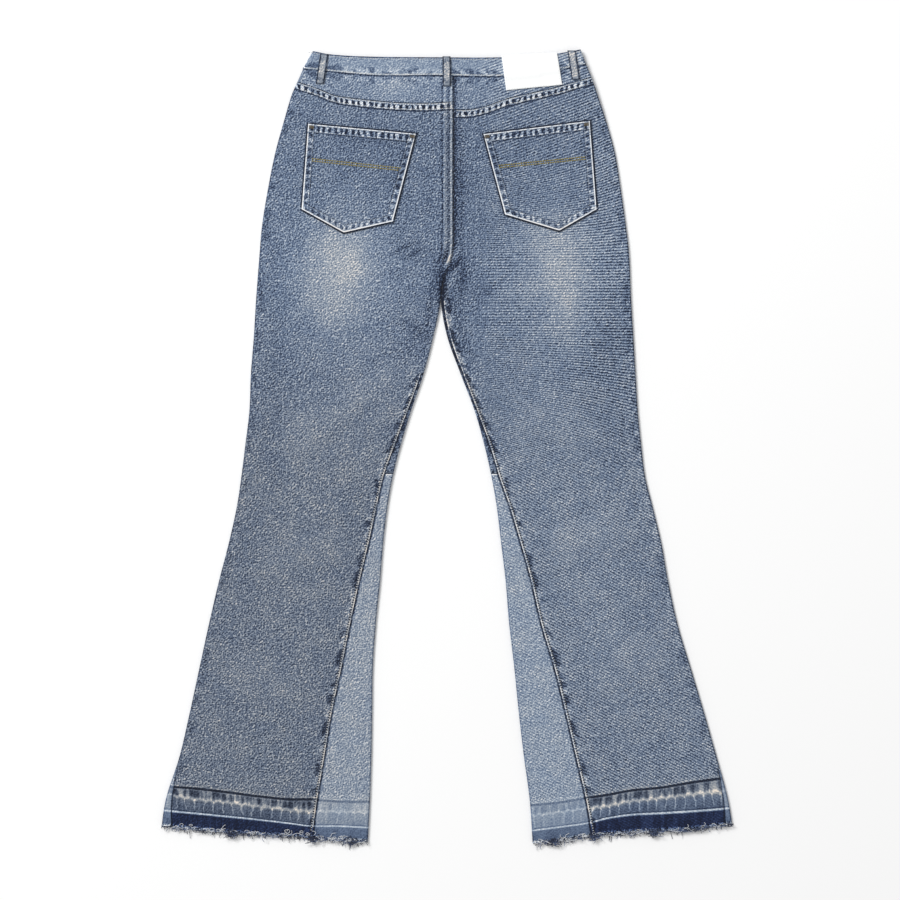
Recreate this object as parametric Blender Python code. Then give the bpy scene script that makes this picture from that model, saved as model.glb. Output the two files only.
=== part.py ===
"""Flared jeans laid flat with their back side up.

The part lies on its front panels. +Y runs from the hems to the waist, +Z points up out of the back, and
the wearer's left is at -X. Every size is in millimetres until a point is placed.
"""

import math
import random
from bisect import bisect_right

import bmesh
import bpy

MM = 0.001

# Cloth and how it lies
DENIM = 1.2
WAISTBAND_CLOTH = 2.4
POCKET_CLOTH = 1.2
POCKET_HEM_CLOTH = 2.0
LOOP_CLOTH = 1.2
PATCH_CARD = 1.3
SEAM_GAP = 0.3
LAID_HEIGHT = 4.2
WAIST_LAID_HEIGHT = 4.6
WAISTBAND_HEIGHT = 5.8

# Rounded edges, in millimetres in from the tip and in degrees round it, and where the flat cloth starts
EDGE_REACH = 2.6
EDGE_DEGREES = (32, 61)
SEAM_LIP_REACH = 0.25
FACE_START = 3.1

# Felled seams: how wide their folded layers are and how far those stand up
SEAM_RISE = 0.6
YOKE_FELL = 10.0
SEAT_FELL = 14.0
FELL_SLOPE = 1.5

# Middle of the drawn outline, moved so that the origin is under the middle of the garment
CENTRE_X = 1.5
CENTRE_Y = 4.6

# Heights along the garment
CROTCH_Y = 244.0
FORK_Y = 200.0
STRIP_TOP_Y = 98.0
INSERT_TOP_Y = -35.0
WEDGE_TOP_Y = -437.0
HEM_LEVEL = -530.0
YOKE_LEVEL = 470.0
WAIST_LEVEL = 513.0

# Inserts let into the legs from the knee down: their whole width at the top and at the hem
INSERT_TOP_WIDTH = 22.0
INSERT_HEM_WIDTH = 110.0

# Waist, loops, button and pockets
HALF_WAIST = 185.0
WAIST_LIFT = 3.0
WAISTBAND_LIFT = 2.4
WAIST_LIFT_LENGTH = 110.0
FRONT_DIP = 15.0
FRONT_WAIST_GAP = 0.7
LOOP_WIDTH = 11.0
LOOP_SPRING = 0.9
LOOP_SEWN_SHARE = 0.2
BUTTON_RADIUS = 8.5
BUTTON_HEIGHT = 2.0
BUTTON_RIM = 0.5
BUTTON_X = 12.0
POCKET_CLEARANCE = 0.5

# How far in from an edge a fold reaches its height, and what share of its length each end takes
FOLD_FADE = 30.0
FOLD_END_SHARE = 0.35

# Frayed hems
FRAY_STRIP = 2.4
FRAY_CLOTH = 0.8
FRAY_GAP = 0.8
FRAY_FROM_EDGE = 5.0
FRAY_BELOW_BACK = 1.0
FRAY_ABOVE_FLOOR = 0.2
FRAY_TIP_SHARE = 0.3
FRAY_LEAN = 2.5
FRAY_LENGTHS = (3.0, 10.0)
FRAY_TUFTS = {"back": 30, "front": 18}

# Each half of the jeans: height, side edge, inner edge below the fork, and how wide the piece that is
# folded round the inner edge shows on the back
HALVES = {
    "left": {
        "columns": ("y", "outer", "inner", "insert"),
        "rows": (
            (-540, -392, -109, 76),
            (-480, -384, -106, 71),
            (-420, -365, -104, 63),
            (-360, -351, -103, 54),
            (-300, -338, -102, 42),
            (-240, -325, -98, 34),
            (-180, -311, -92, 27),
            (-130, -298, -88, 19),
            (-80, -287, -82, 14),
            (-40, -281, -75, 12),
            (0, -276, -65, 8),
            (50, -270, -50, 4),
            (100, -268, -33, 3),
            (150, -264, -20, 3),
            (200, -261, -10, 3),
            (265, -256, -10, 3),
            (300, -253, -10, 3),
            (350, -245, -10, 3),
            (400, -235, -10, 3),
            (440, -224, -10, 3),
            (480, -212, -10, 3),
            (500, -203, -10, 3),
            (520, -194, -10, 3),
            (541, -182, -10, 3),
        ),
        "outward": -1,
        "wedge": 17.0,
    },
    "right": {
        "columns": ("y", "outer", "inner", "insert"),
        "rows": (
            (-540, 390, 115, 82),
            (-480, 381, 111, 76),
            (-420, 365, 103, 70),
            (-360, 348, 96, 63),
            (-300, 330, 90, 54),
            (-240, 312, 83, 43),
            (-180, 299, 78, 34),
            (-130, 290, 72, 26),
            (-80, 278, 66, 17),
            (-40, 268, 59, 10),
            (0, 263, 50, 7),
            (50, 258, 36, 3),
            (100, 255, 17, 3),
            (150, 252, -1, 3),
            (200, 249, -10, 3),
            (265, 246, -10, 3),
            (300, 242, -10, 3),
            (350, 235, -10, 3),
            (400, 227, -10, 3),
            (440, 216, -10, 3),
            (480, 203, -10, 3),
            (500, 196, -10, 3),
            (520, 188, -10, 3),
            (541, 180, -10, 3),
        ),
        "outward": 1,
        "wedge": 12.0,
    },
}

# Seat seam from the fork up to the waist: height and side place
SEAT_SEAM = ((200, -10), (229, -6), (244, 0), (262, 6.5), (282, 8), (310, 8), (541, 8))

# Lines that run across the garment: side place and height
YOKE_SEAM = {
    "left": ((-215, 500), (-178, 488), (-155, 479), (-132, 475), (-72, 469), (-30, 468), (8, 470)),
    "right": ((8, 459), (30, 459.5), (52, 464), (80, 474), (114, 482), (149, 490), (200, 505)),
}
WAIST_SEAM = ((-196, 514), (-167, 511), (-97, 505), (-18, 505), (76, 504), (152, 513), (190, 521))
WAIST_RIM = ((-186, 539), (-160, 534), (-110, 531), (-11, 530), (71, 530), (147, 535), (182, 541))
HEM_EDGE = {
    "left": ((-392, -515), (-332, -521), (-253, -526), (-186, -530), (-150, -534), (-109, -536)),
    "right": ((115, -538), (154, -534), (213, -526), (318, -522), (352, -518), (390, -511)),
}

# Largest folds pressed into the back: from one end to the other, half width and height
FOLD_COLUMNS = ("x0", "y0", "x1", "y1", "spread", "rise")
FOLDS = (
    (-45, 120, -235, -25, 34, 1.7),
    (-20, 262, -110, 292, 20, 1.0),
    (-30, 190, -90, 205, 20, 1.1),
    (40, 225, 130, 205, 22, 1.0),
    (62, 50, 225, 5, 34, 1.5),
    (-120, -120, -265, -165, 32, 1.2),
    (115, -140, 262, -100, 32, 1.3),
    (-185, -335, -320, -300, 34, 1.0),
    (180, -310, 310, -275, 34, 1.1),
)

# Rows of the long panels, from the waist end down to the hem, and over what height they ease off a seam
LEG_ROWS = (
    440, 420, 400, 375, 345, 310, 282, 262, 244, 229, 200, 165, 130, STRIP_TOP_Y, 55, 10, INSERT_TOP_Y,
    -75, -115, -155, -200, -245, -290, -335, -385, WEDGE_TOP_Y, -475, -508, HEM_LEVEL,
)
FRONT_WAIST_ROWS = (WAIST_LEVEL, 495, 477, 459)
INSERT_ROWS = (INSERT_TOP_Y - SEAM_GAP,) + LEG_ROWS[LEG_ROWS.index(INSERT_TOP_Y) + 1 :]
PANEL_BLEND = 60
INSERT_BLEND = 40

# Back pockets: top corners, bottom corners and the point between them
POCKETS = {
    "left": ((-190.5, 440), (-43, 426.5), (-75, 307), (-141.5, 292), (-199, 323.5)),
    "right": ((47.5, 426), (193, 444), (202, 323.5), (151, 294.5), (77.5, 316.5)),
}

# Rows of a pocket, as shares of its depth: the hem of its mouth is folded double down to the second
POCKET_ROWS = (0, 0.105, 0.12, 0.3, 0.5, 0.75, 1)
POCKET_HEM_SHARE = POCKET_ROWS[1]

# Corners of the patch, clockwise from its top left
PATCH = ((72.5, 532.5), (148, 536), (155, 492.5), (79, 485))

# Belt loops: name, top and bottom middles, and which side of the waistband carries them
LOOPS = (
    ("belt_loop_left", -168, 534, -174, 494, "back"),
    ("belt_loop_centre", -2, 531, -1.5, 491, "back"),
    ("belt_loop_right", 167.5, 539, 173.5, 500, "back"),
    ("belt_loop_front_left", -104, 521, -106, 481, "front"),
    ("belt_loop_front_right", 100, 521, 103, 481, "front"),
)

FINISHES = {
    "denim": ((0.16, 0.21, 0.29), 0.85, 0.0),
    "denim_waist": ((0.25, 0.31, 0.40), 0.85, 0.0),
    "denim_insert": ((0.30, 0.35, 0.42), 0.85, 0.0),
    "card": ((0.90, 0.90, 0.88), 0.6, 0.0),
    "brass": ((0.45, 0.33, 0.18), 0.35, 1.0),
    "thread": ((0.35, 0.39, 0.45), 0.9, 0.0),
}


def smooth_curve(points):
    """A function that runs smoothly through (position, value) points given in rising order."""
    at = [p for p, _ in points]
    values = [v for _, v in points]
    slopes = []
    for i in range(len(points)):
        before, after = max(i - 1, 0), min(i + 1, len(points) - 1)
        slopes.append((values[after] - values[before]) / (at[after] - at[before]))

    def read(position):
        position = min(max(position, at[0]), at[-1])
        i = min(bisect_right(at, position), len(at) - 1) - 1
        span = at[i + 1] - at[i]
        t = (position - at[i]) / span
        rise = t * t * (3 - 2 * t)
        leave, arrive = t * (1 - t) ** 2 * span, t * t * (t - 1) * span
        return values[i] + (values[i + 1] - values[i]) * rise + slopes[i] * leave + slopes[i + 1] * arrive

    return read


def ease(share):
    """A smooth step from 0 to 1, held flat outside that range."""
    share = min(max(share, 0.0), 1.0)
    return share * share * (3 - 2 * share)


def column(half, name):
    table = HALVES[half]
    index = table["columns"].index(name)
    return smooth_curve([(row[0], row[index]) for row in table["rows"]])


OUTER = {half: column(half, "outer") for half in HALVES}
LEG_INNER = {half: column(half, "inner") for half in HALVES}
INSERT = {half: column(half, "insert") for half in HALVES}
SEAT = smooth_curve(SEAT_SEAM)
YOKE = {half: smooth_curve(points) for half, points in YOKE_SEAM.items()}
HEM = {half: smooth_curve(points) for half, points in HEM_EDGE.items()}
SEAM_AT_WAIST = smooth_curve(WAIST_SEAM)
RIM_AT_WAIST = smooth_curve(WAIST_RIM)


def edge_x(half, edge, y):
    """Side place of the tip of a folded or sewn edge."""
    if edge == "outer":
        return OUTER[half](y)
    middle = SEAT(y) if y >= FORK_Y else LEG_INNER[half](y)
    return middle + HALVES[half]["outward"] * SEAM_GAP / 2


def inward(half, edge):
    """Direction in X from an edge's tip into the cloth."""
    return -HALVES[half]["outward"] if edge == "outer" else HALVES[half]["outward"]


def edge_reach(edge, y):
    """How far the rounding of an edge reaches in, which shrinks to a lip along the seat seam."""
    if edge == "outer":
        return EDGE_REACH
    return SEAM_LIP_REACH + (EDGE_REACH - SEAM_LIP_REACH) * ease((CROTCH_Y - y) / (CROTCH_Y - FORK_Y))


def lift(y):
    """Height of the underside, which the loops and button hold up at the waist."""
    return WAIST_LIFT * ease(1 - (WAIST_LEVEL - y) / WAIST_LIFT_LENGTH)


def laid_height(y):
    """Height of the two layers together."""
    return LAID_HEIGHT + (WAIST_LAID_HEIGHT - LAID_HEIGHT) * ease(1 - (WAIST_LEVEL - y) / WAIST_LIFT_LENGTH)


def front_dip(x):
    """How much lower the waist lies on the hidden front."""
    return FRONT_DIP * max(0.0, 1 - (x / HALF_WAIST) ** 2)


def insert_width(y):
    """Whole width of an insert, front and back together."""
    down = (INSERT_TOP_Y - y) / (INSERT_TOP_Y - HEM_LEVEL)
    return INSERT_TOP_WIDTH + (INSERT_HEM_WIDTH - INSERT_TOP_WIDTH) * min(max(down, 0.0), 1.0)


def wedge_width(half, y):
    """How much of the side insert shows on the back."""
    down = min(max((WEDGE_TOP_Y - y) / (WEDGE_TOP_Y - HEM_LEVEL), 0.0), 1.0)
    return FACE_START + (HALVES[half]["wedge"] - FACE_START) * down


def fold_rise(x, y):
    """Sum of the folds at a point."""
    total = 0.0
    for values in FOLDS:
        fold = dict(zip(FOLD_COLUMNS, values))
        run_x, run_y = fold["x1"] - fold["x0"], fold["y1"] - fold["y0"]
        length = math.hypot(run_x, run_y)
        along = ((x - fold["x0"]) * run_x + (y - fold["y0"]) * run_y) / length
        across = ((x - fold["x0"]) * run_y - (y - fold["y0"]) * run_x) / length
        fade = length * FOLD_END_SHARE
        ends = ease(along / fade) * ease((length - along) / fade)
        total += fold["rise"] * ends * math.exp(-((across / fold["spread"]) ** 2))
    return total


def seam_band(distance, width):
    """1 on a felled seam's folded layers, 0 beside them."""
    return ease((width + FELL_SLOPE - distance) / FELL_SLOPE) if distance >= 0 else 0.0


def back_height(half, x, y):
    """Height of the back's upper face at a point inside the rounded edges."""
    outer, inner = edge_x(half, "outer", y), edge_x(half, "inner", y)
    inside = min(abs(x - outer), abs(x - inner))
    above_hem = y - HEM[half](x)
    folds = fold_rise(x, y) * ease(inside / FOLD_FADE) * ease(above_hem / (2 * FOLD_FADE))
    bands = [seam_band(YOKE[half](x) - y, YOKE_FELL)]
    if half == "left" and y > CROTCH_Y:
        bands.append(seam_band(inner - x, SEAT_FELL) * ease((y - CROTCH_Y) / SEAT_FELL))
    return lift(y) + laid_height(y) + folds + SEAM_RISE * max(bands)


def waistband_top():
    return WAISTBAND_LIFT + WAISTBAND_HEIGHT


def carried_height(x, y):
    """Height of whatever lies highest within a few millimetres of a point on the back."""
    half = "left" if x < edge_x("left", "inner", y) else "right"
    heights = []
    for near in (y - 4, y, y + 4):
        on_waistband = near > SEAM_AT_WAIST(x)
        heights.append(waistband_top() if on_waistband else back_height(half, x, near))
    return max(heights)


def wall_on_arc(tip, toward, reach, low, tall, degrees, thickness):
    """Outer and inner points of a wall bent round an edge: 90 is its top, 0 its tip, -90 its underside."""
    across, up = math.cos(math.radians(degrees)), math.sin(math.radians(degrees))
    middle_x, middle_z = tip + toward * reach, low + tall / 2
    outer = (middle_x - toward * reach * across, middle_z + tall / 2 * up)
    inner = (middle_x - toward * (reach - thickness) * across, middle_z + (tall / 2 - thickness) * up)
    return outer, inner


def wall_on_face(half, face, x, y):
    """Outer and inner points of a wall lying on the back or on the front."""
    if face == "back":
        z = back_height(half, x, y)
        return (x, z), (x, z - DENIM)
    return (x, lift(y)), (x, lift(y) + DENIM)


def on_edge(half, edge, degrees):
    """A station on a rounded edge of one half."""

    def station(y):
        tip, toward = edge_x(half, edge, y), inward(half, edge)
        return wall_on_arc(tip, toward, edge_reach(edge, y), lift(y), laid_height(y), degrees, DENIM)

    return station


def on_face(half, edge, face, distance):
    """A station on the back or the front, a distance in from an edge's tip that may change with height."""

    def station(y):
        in_from_tip = distance(y) if callable(distance) else distance
        return wall_on_face(half, face, edge_x(half, edge, y) + inward(half, edge) * in_from_tip, y)

    return station


def across(half, face, first, last, count):
    """Stations that share out the cloth between two others, without the two themselves."""

    def make(share):
        def station(y):
            return wall_on_face(half, face, first(y)[0][0] * (1 - share) + last(y)[0][0] * share, y)

        return station

    return [make((i + 1) / (count + 1)) for i in range(count)]


def gap_degrees():
    """Angle on a rounded edge that half a seam gap takes."""
    return math.degrees(SEAM_GAP / LAID_HEIGHT)


def upper_edge(half, edge):
    """Stations of the back's half of an edge, from its tip inward."""
    return [on_edge(half, edge, degrees) for degrees in (gap_degrees(),) + EDGE_DEGREES]


def lower_edge(half, edge):
    """Stations of the front's half of an edge, from its tip inward."""
    return [on_edge(half, edge, -degrees) for degrees in (gap_degrees(),) + EDGE_DEGREES]


def rounded_over(half, edge):
    """Stations that carry a piece of the front up over an edge, onto the back."""
    return [on_edge(half, edge, degrees) for degrees in EDGE_DEGREES + (90,)]


def level_between(top, bottom, top_level, bottom_level, blend):
    """Height of a row at a side place: the end rows follow their seams, and the next ones ease off them."""

    def height(x, level):
        to_top = max(0.0, 1 - (top_level - level) / blend)
        to_bottom = max(0.0, 1 - (level - bottom_level) / blend)
        return level + (top(x) - top_level) * to_top + (bottom(x) - bottom_level) * to_bottom

    return height


def finish(name):
    material = bpy.data.materials.get(name)
    if material is None:
        colour, roughness, metallic = FINISHES[name]
        material = bpy.data.materials.new(name)
        material.use_nodes = True
        shader = material.node_tree.nodes["Principled BSDF"]
        shader.inputs["Base Color"].default_value = (*colour, 1)
        shader.inputs["Roughness"].default_value = roughness
        shader.inputs["Metallic"].default_value = metallic
    return material


def add_object(name, mesh_data, finish_name):
    bmesh.ops.translate(mesh_data, verts=mesh_data.verts, vec=(CENTRE_X, CENTRE_Y, 0))
    bmesh.ops.scale(mesh_data, verts=mesh_data.verts, vec=(MM, MM, MM))
    mesh = bpy.data.meshes.new(name)
    mesh_data.to_mesh(mesh)
    mesh_data.free()
    mesh.materials.append(finish(finish_name))
    piece = bpy.data.objects.new(name, mesh)
    bpy.context.scene.collection.objects.link(piece)
    return piece


def grid_points(mesh_data):
    """The grid's vertices as rows from the top, each from the left."""
    ordered = sorted(mesh_data.verts, key=lambda v: (-round(v.co.y, 5), round(v.co.x, 5)))
    width = sum(1 for v in ordered if abs(v.co.y - ordered[0].co.y) < 1e-5)
    return [ordered[i : i + width] for i in range(0, len(ordered), width)]


def raised(mesh_data):
    """Extrudes every face and gives the new vertices."""
    made = bmesh.ops.extrude_face_region(mesh_data, geom=mesh_data.faces[:])
    return [item for item in made["geom"] if isinstance(item, bmesh.types.BMVert)]


def sheet(name, finish_name, stations, levels, height, keep=None, nudge=None):
    """A wall of cloth, with a station for each column and a level for each row.

    keep says which cells are cloth, and nudge moves a point along the garment to open a seam gap.
    """
    mesh_data = bmesh.new()
    columns, rows = len(stations) - 1, len(levels) - 1
    bmesh.ops.create_grid(mesh_data, x_segments=columns, y_segments=rows, size=1)
    if keep:
        dropped = []
        for face in mesh_data.faces:
            middle = face.calc_center_median()
            i, j = int((middle.x + 1) / 2 * columns), int((1 - middle.y) / 2 * rows)
            if not keep(i, levels[j], levels[j + 1]):
                dropped.append(face)
        bmesh.ops.delete(mesh_data, geom=dropped, context="FACES")
    inner = set(raised(mesh_data))
    for vertex in mesh_data.verts:
        i, j = round((vertex.co.x + 1) / 2 * columns), round((1 - vertex.co.y) / 2 * rows)
        station, level = stations[i], levels[j]
        y = height(0.0, level)
        for _ in range(6):
            y = height(station(y)[0][0], level)
        x, z = station(y)[1 if vertex in inner else 0]
        vertex.co = (x, y + (nudge(i, level) if nudge else 0.0), z)
    bmesh.ops.recalc_face_normals(mesh_data, faces=mesh_data.faces)
    return add_object(name, mesh_data, finish_name)


def back_stations(half, inseam, side_seam):
    """Stations across the back, with two close together where the felled seat seam ends."""
    first, last = on_face(half, "outer", "back", side_seam), on_face(half, "inner", "back", inseam)
    band = on_face(half, "inner", "back", lambda y: inseam(y) + SEAT_FELL - FACE_START)
    beside = on_face(half, "inner", "back", lambda y: inseam(y) + SEAT_FELL - FACE_START + FELL_SLOPE)
    middle = across(half, "back", first, beside, 6)
    outer_edge, inner_edge = upper_edge(half, "outer"), upper_edge(half, "inner")
    return outer_edge + [first] + middle + [beside, band, last] + inner_edge[::-1]


def back_leg(half):
    """Back panel: from the yoke seam to the hem, and from the side edge to the seat seam and inseam."""
    seam_gap = SEAM_GAP / 2

    def inseam(y):
        return (INSERT[half](y) if y < STRIP_TOP_Y else FACE_START) + seam_gap

    def side_seam(y):
        return (wedge_width(half, y) if y < WEDGE_TOP_Y else FACE_START) + seam_gap

    stations = back_stations(half, inseam, side_seam)
    side_cells = len(upper_edge(half, "outer"))
    inner_cells = len(stations) - 1 - len(upper_edge(half, "inner"))

    def keep(i, upper, lower):
        if i < side_cells:
            return lower >= WEDGE_TOP_Y
        return i < inner_cells or lower >= STRIP_TOP_Y

    levels = (YOKE_LEVEL, YOKE_LEVEL - YOKE_FELL, YOKE_LEVEL - YOKE_FELL - FELL_SLOPE) + LEG_ROWS
    height = level_between(lambda x: YOKE[half](x) - seam_gap, HEM[half], YOKE_LEVEL, HEM_LEVEL, PANEL_BLEND)
    sheet("back_leg_" + half, "denim", stations, levels, height, keep)


def front_waist(x):
    """Upper edge of the front panels, under the waistband."""
    return SEAM_AT_WAIST(x) - front_dip(x) - FRONT_WAIST_GAP


def under_share(half, y):
    """How much of the inner insert lies on the front."""
    return insert_width(y) - INSERT[half](min(y, INSERT_TOP_Y))


def side_share(half, y):
    """How much of the side insert lies on the front."""
    return insert_width(y) - (wedge_width(half, y) if y < WEDGE_TOP_Y else 0.0)


def front_leg(half):
    """Front panel: flat underneath, and folded round the inner edge onto the back above the insert."""
    gap = SEAM_GAP / 2
    outer_edge, under_edge = lower_edge(half, "outer"), lower_edge(half, "inner")
    over_edge = rounded_over(half, "inner")
    side = on_face(half, "outer", "front", lambda y: side_share(half, y) + gap)
    inner = on_face(half, "inner", "front", lambda y: under_share(half, y) + gap)
    near_side = on_face(half, "outer", "front", lambda y: edge_reach("outer", y))
    near_inner = on_face(half, "inner", "front", lambda y: edge_reach("inner", y))
    strip = on_face(half, "inner", "back", lambda y: max(INSERT[half](y), FACE_START) - gap)
    stations = outer_edge + [near_side, side] + across(half, "front", side, inner, 4)
    stations += [inner, near_inner] + under_edge[::-1] + over_edge + [strip]
    side_cell = len(outer_edge) + 1
    inner_cell = side_cell + 5
    over_cell = inner_cell + 1 + len(under_edge)

    def keep(i, upper, lower):
        if side_cell <= i < inner_cell:
            return True
        if i < over_cell:
            return lower >= INSERT_TOP_Y
        return lower >= INSERT_TOP_Y and upper <= STRIP_TOP_Y

    def nudge(i, level):
        return -SEAM_GAP if level == STRIP_TOP_Y and i > over_cell else 0.0

    height = level_between(front_waist, HEM[half], WAIST_LEVEL, HEM_LEVEL, PANEL_BLEND)
    sheet("front_leg_" + half, "denim", stations, FRONT_WAIST_ROWS + LEG_ROWS, height, keep, nudge)


def insert_level(half):
    """Height of an insert's rows, from its straight top down to the hem."""
    return level_between(lambda x: INSERT_ROWS[0], HEM[half], INSERT_ROWS[0], HEM_LEVEL, INSERT_BLEND)


def inner_insert(half):
    """Lighter denim let into the inseam, folded round the inner edge from the front onto the back."""
    gap = SEAM_GAP / 2
    under = on_face(half, "inner", "front", lambda y: under_share(half, y) - gap)
    near = on_face(half, "inner", "front", lambda y: EDGE_REACH)
    over = rounded_over(half, "inner")
    seam = on_face(half, "inner", "back", lambda y: INSERT[half](y) - gap)
    stations = [under, near] + lower_edge(half, "inner")[::-1] + over
    stations += across(half, "back", over[-1], seam, 2) + [seam]
    sheet("inner_insert_" + half, "denim_insert", stations, INSERT_ROWS, insert_level(half))


def side_insert(half):
    """Lighter denim let into the side seam: it lies on the front and comes round the edge near the hem."""
    gap = SEAM_GAP / 2
    under = on_face(half, "outer", "front", lambda y: side_share(half, y) - gap)
    near = on_face(half, "outer", "front", lambda y: EDGE_REACH)
    over = rounded_over(half, "outer")
    seam = on_face(half, "outer", "back", lambda y: wedge_width(half, y) - gap)
    stations = [under, near] + lower_edge(half, "outer")[::-1] + over + [seam]
    over_cell = len(stations) - 1 - len(over) - 1

    def keep(i, upper, lower):
        return i < over_cell or upper <= WEDGE_TOP_Y

    def nudge(i, level):
        return -SEAM_GAP if level == WEDGE_TOP_Y and i > over_cell else 0.0

    sheet("side_insert_" + half, "denim_insert", stations, INSERT_ROWS, insert_level(half), keep, nudge)


def yoke(half):
    """Shaped panel between the waistband and the back panel."""
    gap = SEAM_GAP / 2
    stations = back_stations(half, lambda y: FACE_START + gap, lambda y: FACE_START + gap)

    def height(x, level):
        low, high = YOKE[half](x) + gap, SEAM_AT_WAIST(x) - gap
        return high * (1 - level) + low * level

    sheet("yoke_" + half, "denim", stations, (0, 0.33, 0.67, 1), height)


def waistband():
    """One folded strip all round the waist, with its two ends meeting at the middle of the front."""
    under, upper = WAISTBAND_LIFT, WAISTBAND_LIFT + WAISTBAND_HEIGHT

    def edge(half, degrees):
        def station(y):
            tip, toward = OUTER[half](y), inward(half, "outer")
            return wall_on_arc(tip, toward, EDGE_REACH, under, WAISTBAND_HEIGHT, degrees, WAISTBAND_CLOTH)

        return station

    def face(share, z, wall):
        def station(y):
            left, right = OUTER["left"](y) + EDGE_REACH, OUTER["right"](y) - EDGE_REACH
            x = left + (right - left) * share
            return (x, z), (x, z + wall)

        return station

    end_gap = SEAM_GAP / (2 * HALF_WAIST)
    turn = range(-90, 91, 30)
    front_shares = (0.5 - end_gap, 0.42, 0.34, 0.26, 0.18, 0.09)
    stations = [face(share, under, WAISTBAND_CLOTH) for share in front_shares]
    stations += [edge("left", degrees) for degrees in turn]
    stations += [face((i + 1) / 13, upper, -WAISTBAND_CLOTH) for i in range(12)]
    stations += [edge("right", degrees) for degrees in reversed(turn)]
    stations += [face(1 - share, under, WAISTBAND_CLOTH) for share in reversed(front_shares)]
    count = len(front_shares) + 1
    front = set(range(count)) | set(range(len(stations) - count, len(stations)))

    def height(x, level):
        low, high = SEAM_AT_WAIST(x) + SEAM_GAP / 2, RIM_AT_WAIST(x)
        return high * (1 - level) + low * level

    def nudge(i, level):
        return -front_dip(stations[i](WAIST_LEVEL)[0][0]) if i in front else 0.0

    sheet("waistband", "denim_waist", stations, (0, 0.5, 1), height, None, nudge)


def laid_piece(name, finish_name, outline, columns, rows, thickness, z_at):
    """A piece lying on others: a grid spread by outline(across, down), standing up from z_at(x, y).

    rows are shares of its length, and thickness is worked out for each of them.
    """
    mesh_data = bmesh.new()
    bmesh.ops.create_grid(mesh_data, x_segments=columns, y_segments=len(rows) - 1, size=1)
    upper = set(raised(mesh_data))
    for vertex in mesh_data.verts:
        down = rows[round((1 - vertex.co.y) / 2 * (len(rows) - 1))]
        x, y = outline((vertex.co.x + 1) / 2, down)
        vertex.co = (x, y, z_at(x, y) + (thickness(down) if vertex in upper else 0.0))
    bmesh.ops.recalc_face_normals(mesh_data, faces=mesh_data.faces)
    add_object(name, mesh_data, finish_name)


def even_rows(count):
    return [i / count for i in range(count + 1)]


def between(a, b, share):
    return tuple(p * (1 - share) + q * share for p, q in zip(a, b))


def pocket_outline(half):
    """Spreads a back pocket: straight mouth, slightly flared sides and a pointed foot."""
    top_left, top_right, low_right, point, low_left = POCKETS[half]

    def outline(u, v):
        foot = between(low_left, point, 2 * u) if u < 0.5 else between(point, low_right, 2 * u - 1)
        return between(between(top_left, top_right, u), foot, v)

    return outline


def back_pocket(half):
    """Patch pocket with its mouth hemmed double."""

    def z_at(x, y):
        return carried_height(x, y) + POCKET_CLEARANCE

    def thickness(down):
        return POCKET_HEM_CLOTH if down <= POCKET_HEM_SHARE else POCKET_CLOTH

    laid_piece("back_pocket_" + half, "denim", pocket_outline(half), 8, POCKET_ROWS, thickness, z_at)


def waist_patch():
    """Plain card patch sewn over the waistband."""
    top_left, top_right, low_right, low_left = PATCH

    def outline(u, v):
        return between(between(top_left, top_right, u), between(low_left, low_right, u), v)

    def z_at(x, y):
        return carried_height(x, y) + SEAM_GAP

    laid_piece("waist_patch", "card", outline, 8, even_rows(6), lambda down: PATCH_CARD, z_at)


def belt_loop(name, top_x, top_y, low_x, low_y, side):
    """A strip sewn down at both ends, standing a little off the waistband between them."""

    def outline(u, v):
        middle = between((top_x, top_y), (low_x, low_y), v)
        return middle[0] + (u - 0.5) * LOOP_WIDTH, middle[1]

    def spring(y):
        share = (top_y - y) / (top_y - low_y)
        return LOOP_SPRING * ease(share / LOOP_SEWN_SHARE) * ease((1 - share) / LOOP_SEWN_SHARE)

    def z_at(x, y):
        if side == "back":
            return carried_height(x, y) + SEAM_GAP + spring(y)
        return min(WAISTBAND_LIFT, lift(y)) - SEAM_GAP - LOOP_CLOTH - spring(y)

    laid_piece(name, "denim_waist", outline, 2, even_rows(8), lambda down: LOOP_CLOTH, z_at)


def waist_button():
    """Tack button on the hidden front, its face down."""
    mesh_data = bmesh.new()
    bmesh.ops.create_cone(mesh_data, cap_ends=True, segments=24, radius1=BUTTON_RADIUS,
                          radius2=BUTTON_RADIUS, depth=BUTTON_HEIGHT)
    rims = [edge for edge in mesh_data.edges if abs(edge.verts[0].co.z - edge.verts[1].co.z) < 1e-6]
    bmesh.ops.bevel(mesh_data, geom=rims, offset=BUTTON_RIM, segments=2, affect="EDGES", profile=0.5,
                    material=-1)
    y = (SEAM_AT_WAIST(0) + RIM_AT_WAIST(0)) / 2 - FRONT_DIP
    bmesh.ops.translate(mesh_data, verts=mesh_data.verts, vec=(BUTTON_X, y, BUTTON_HEIGHT / 2))
    add_object("waist_button", mesh_data, "brass")


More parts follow.
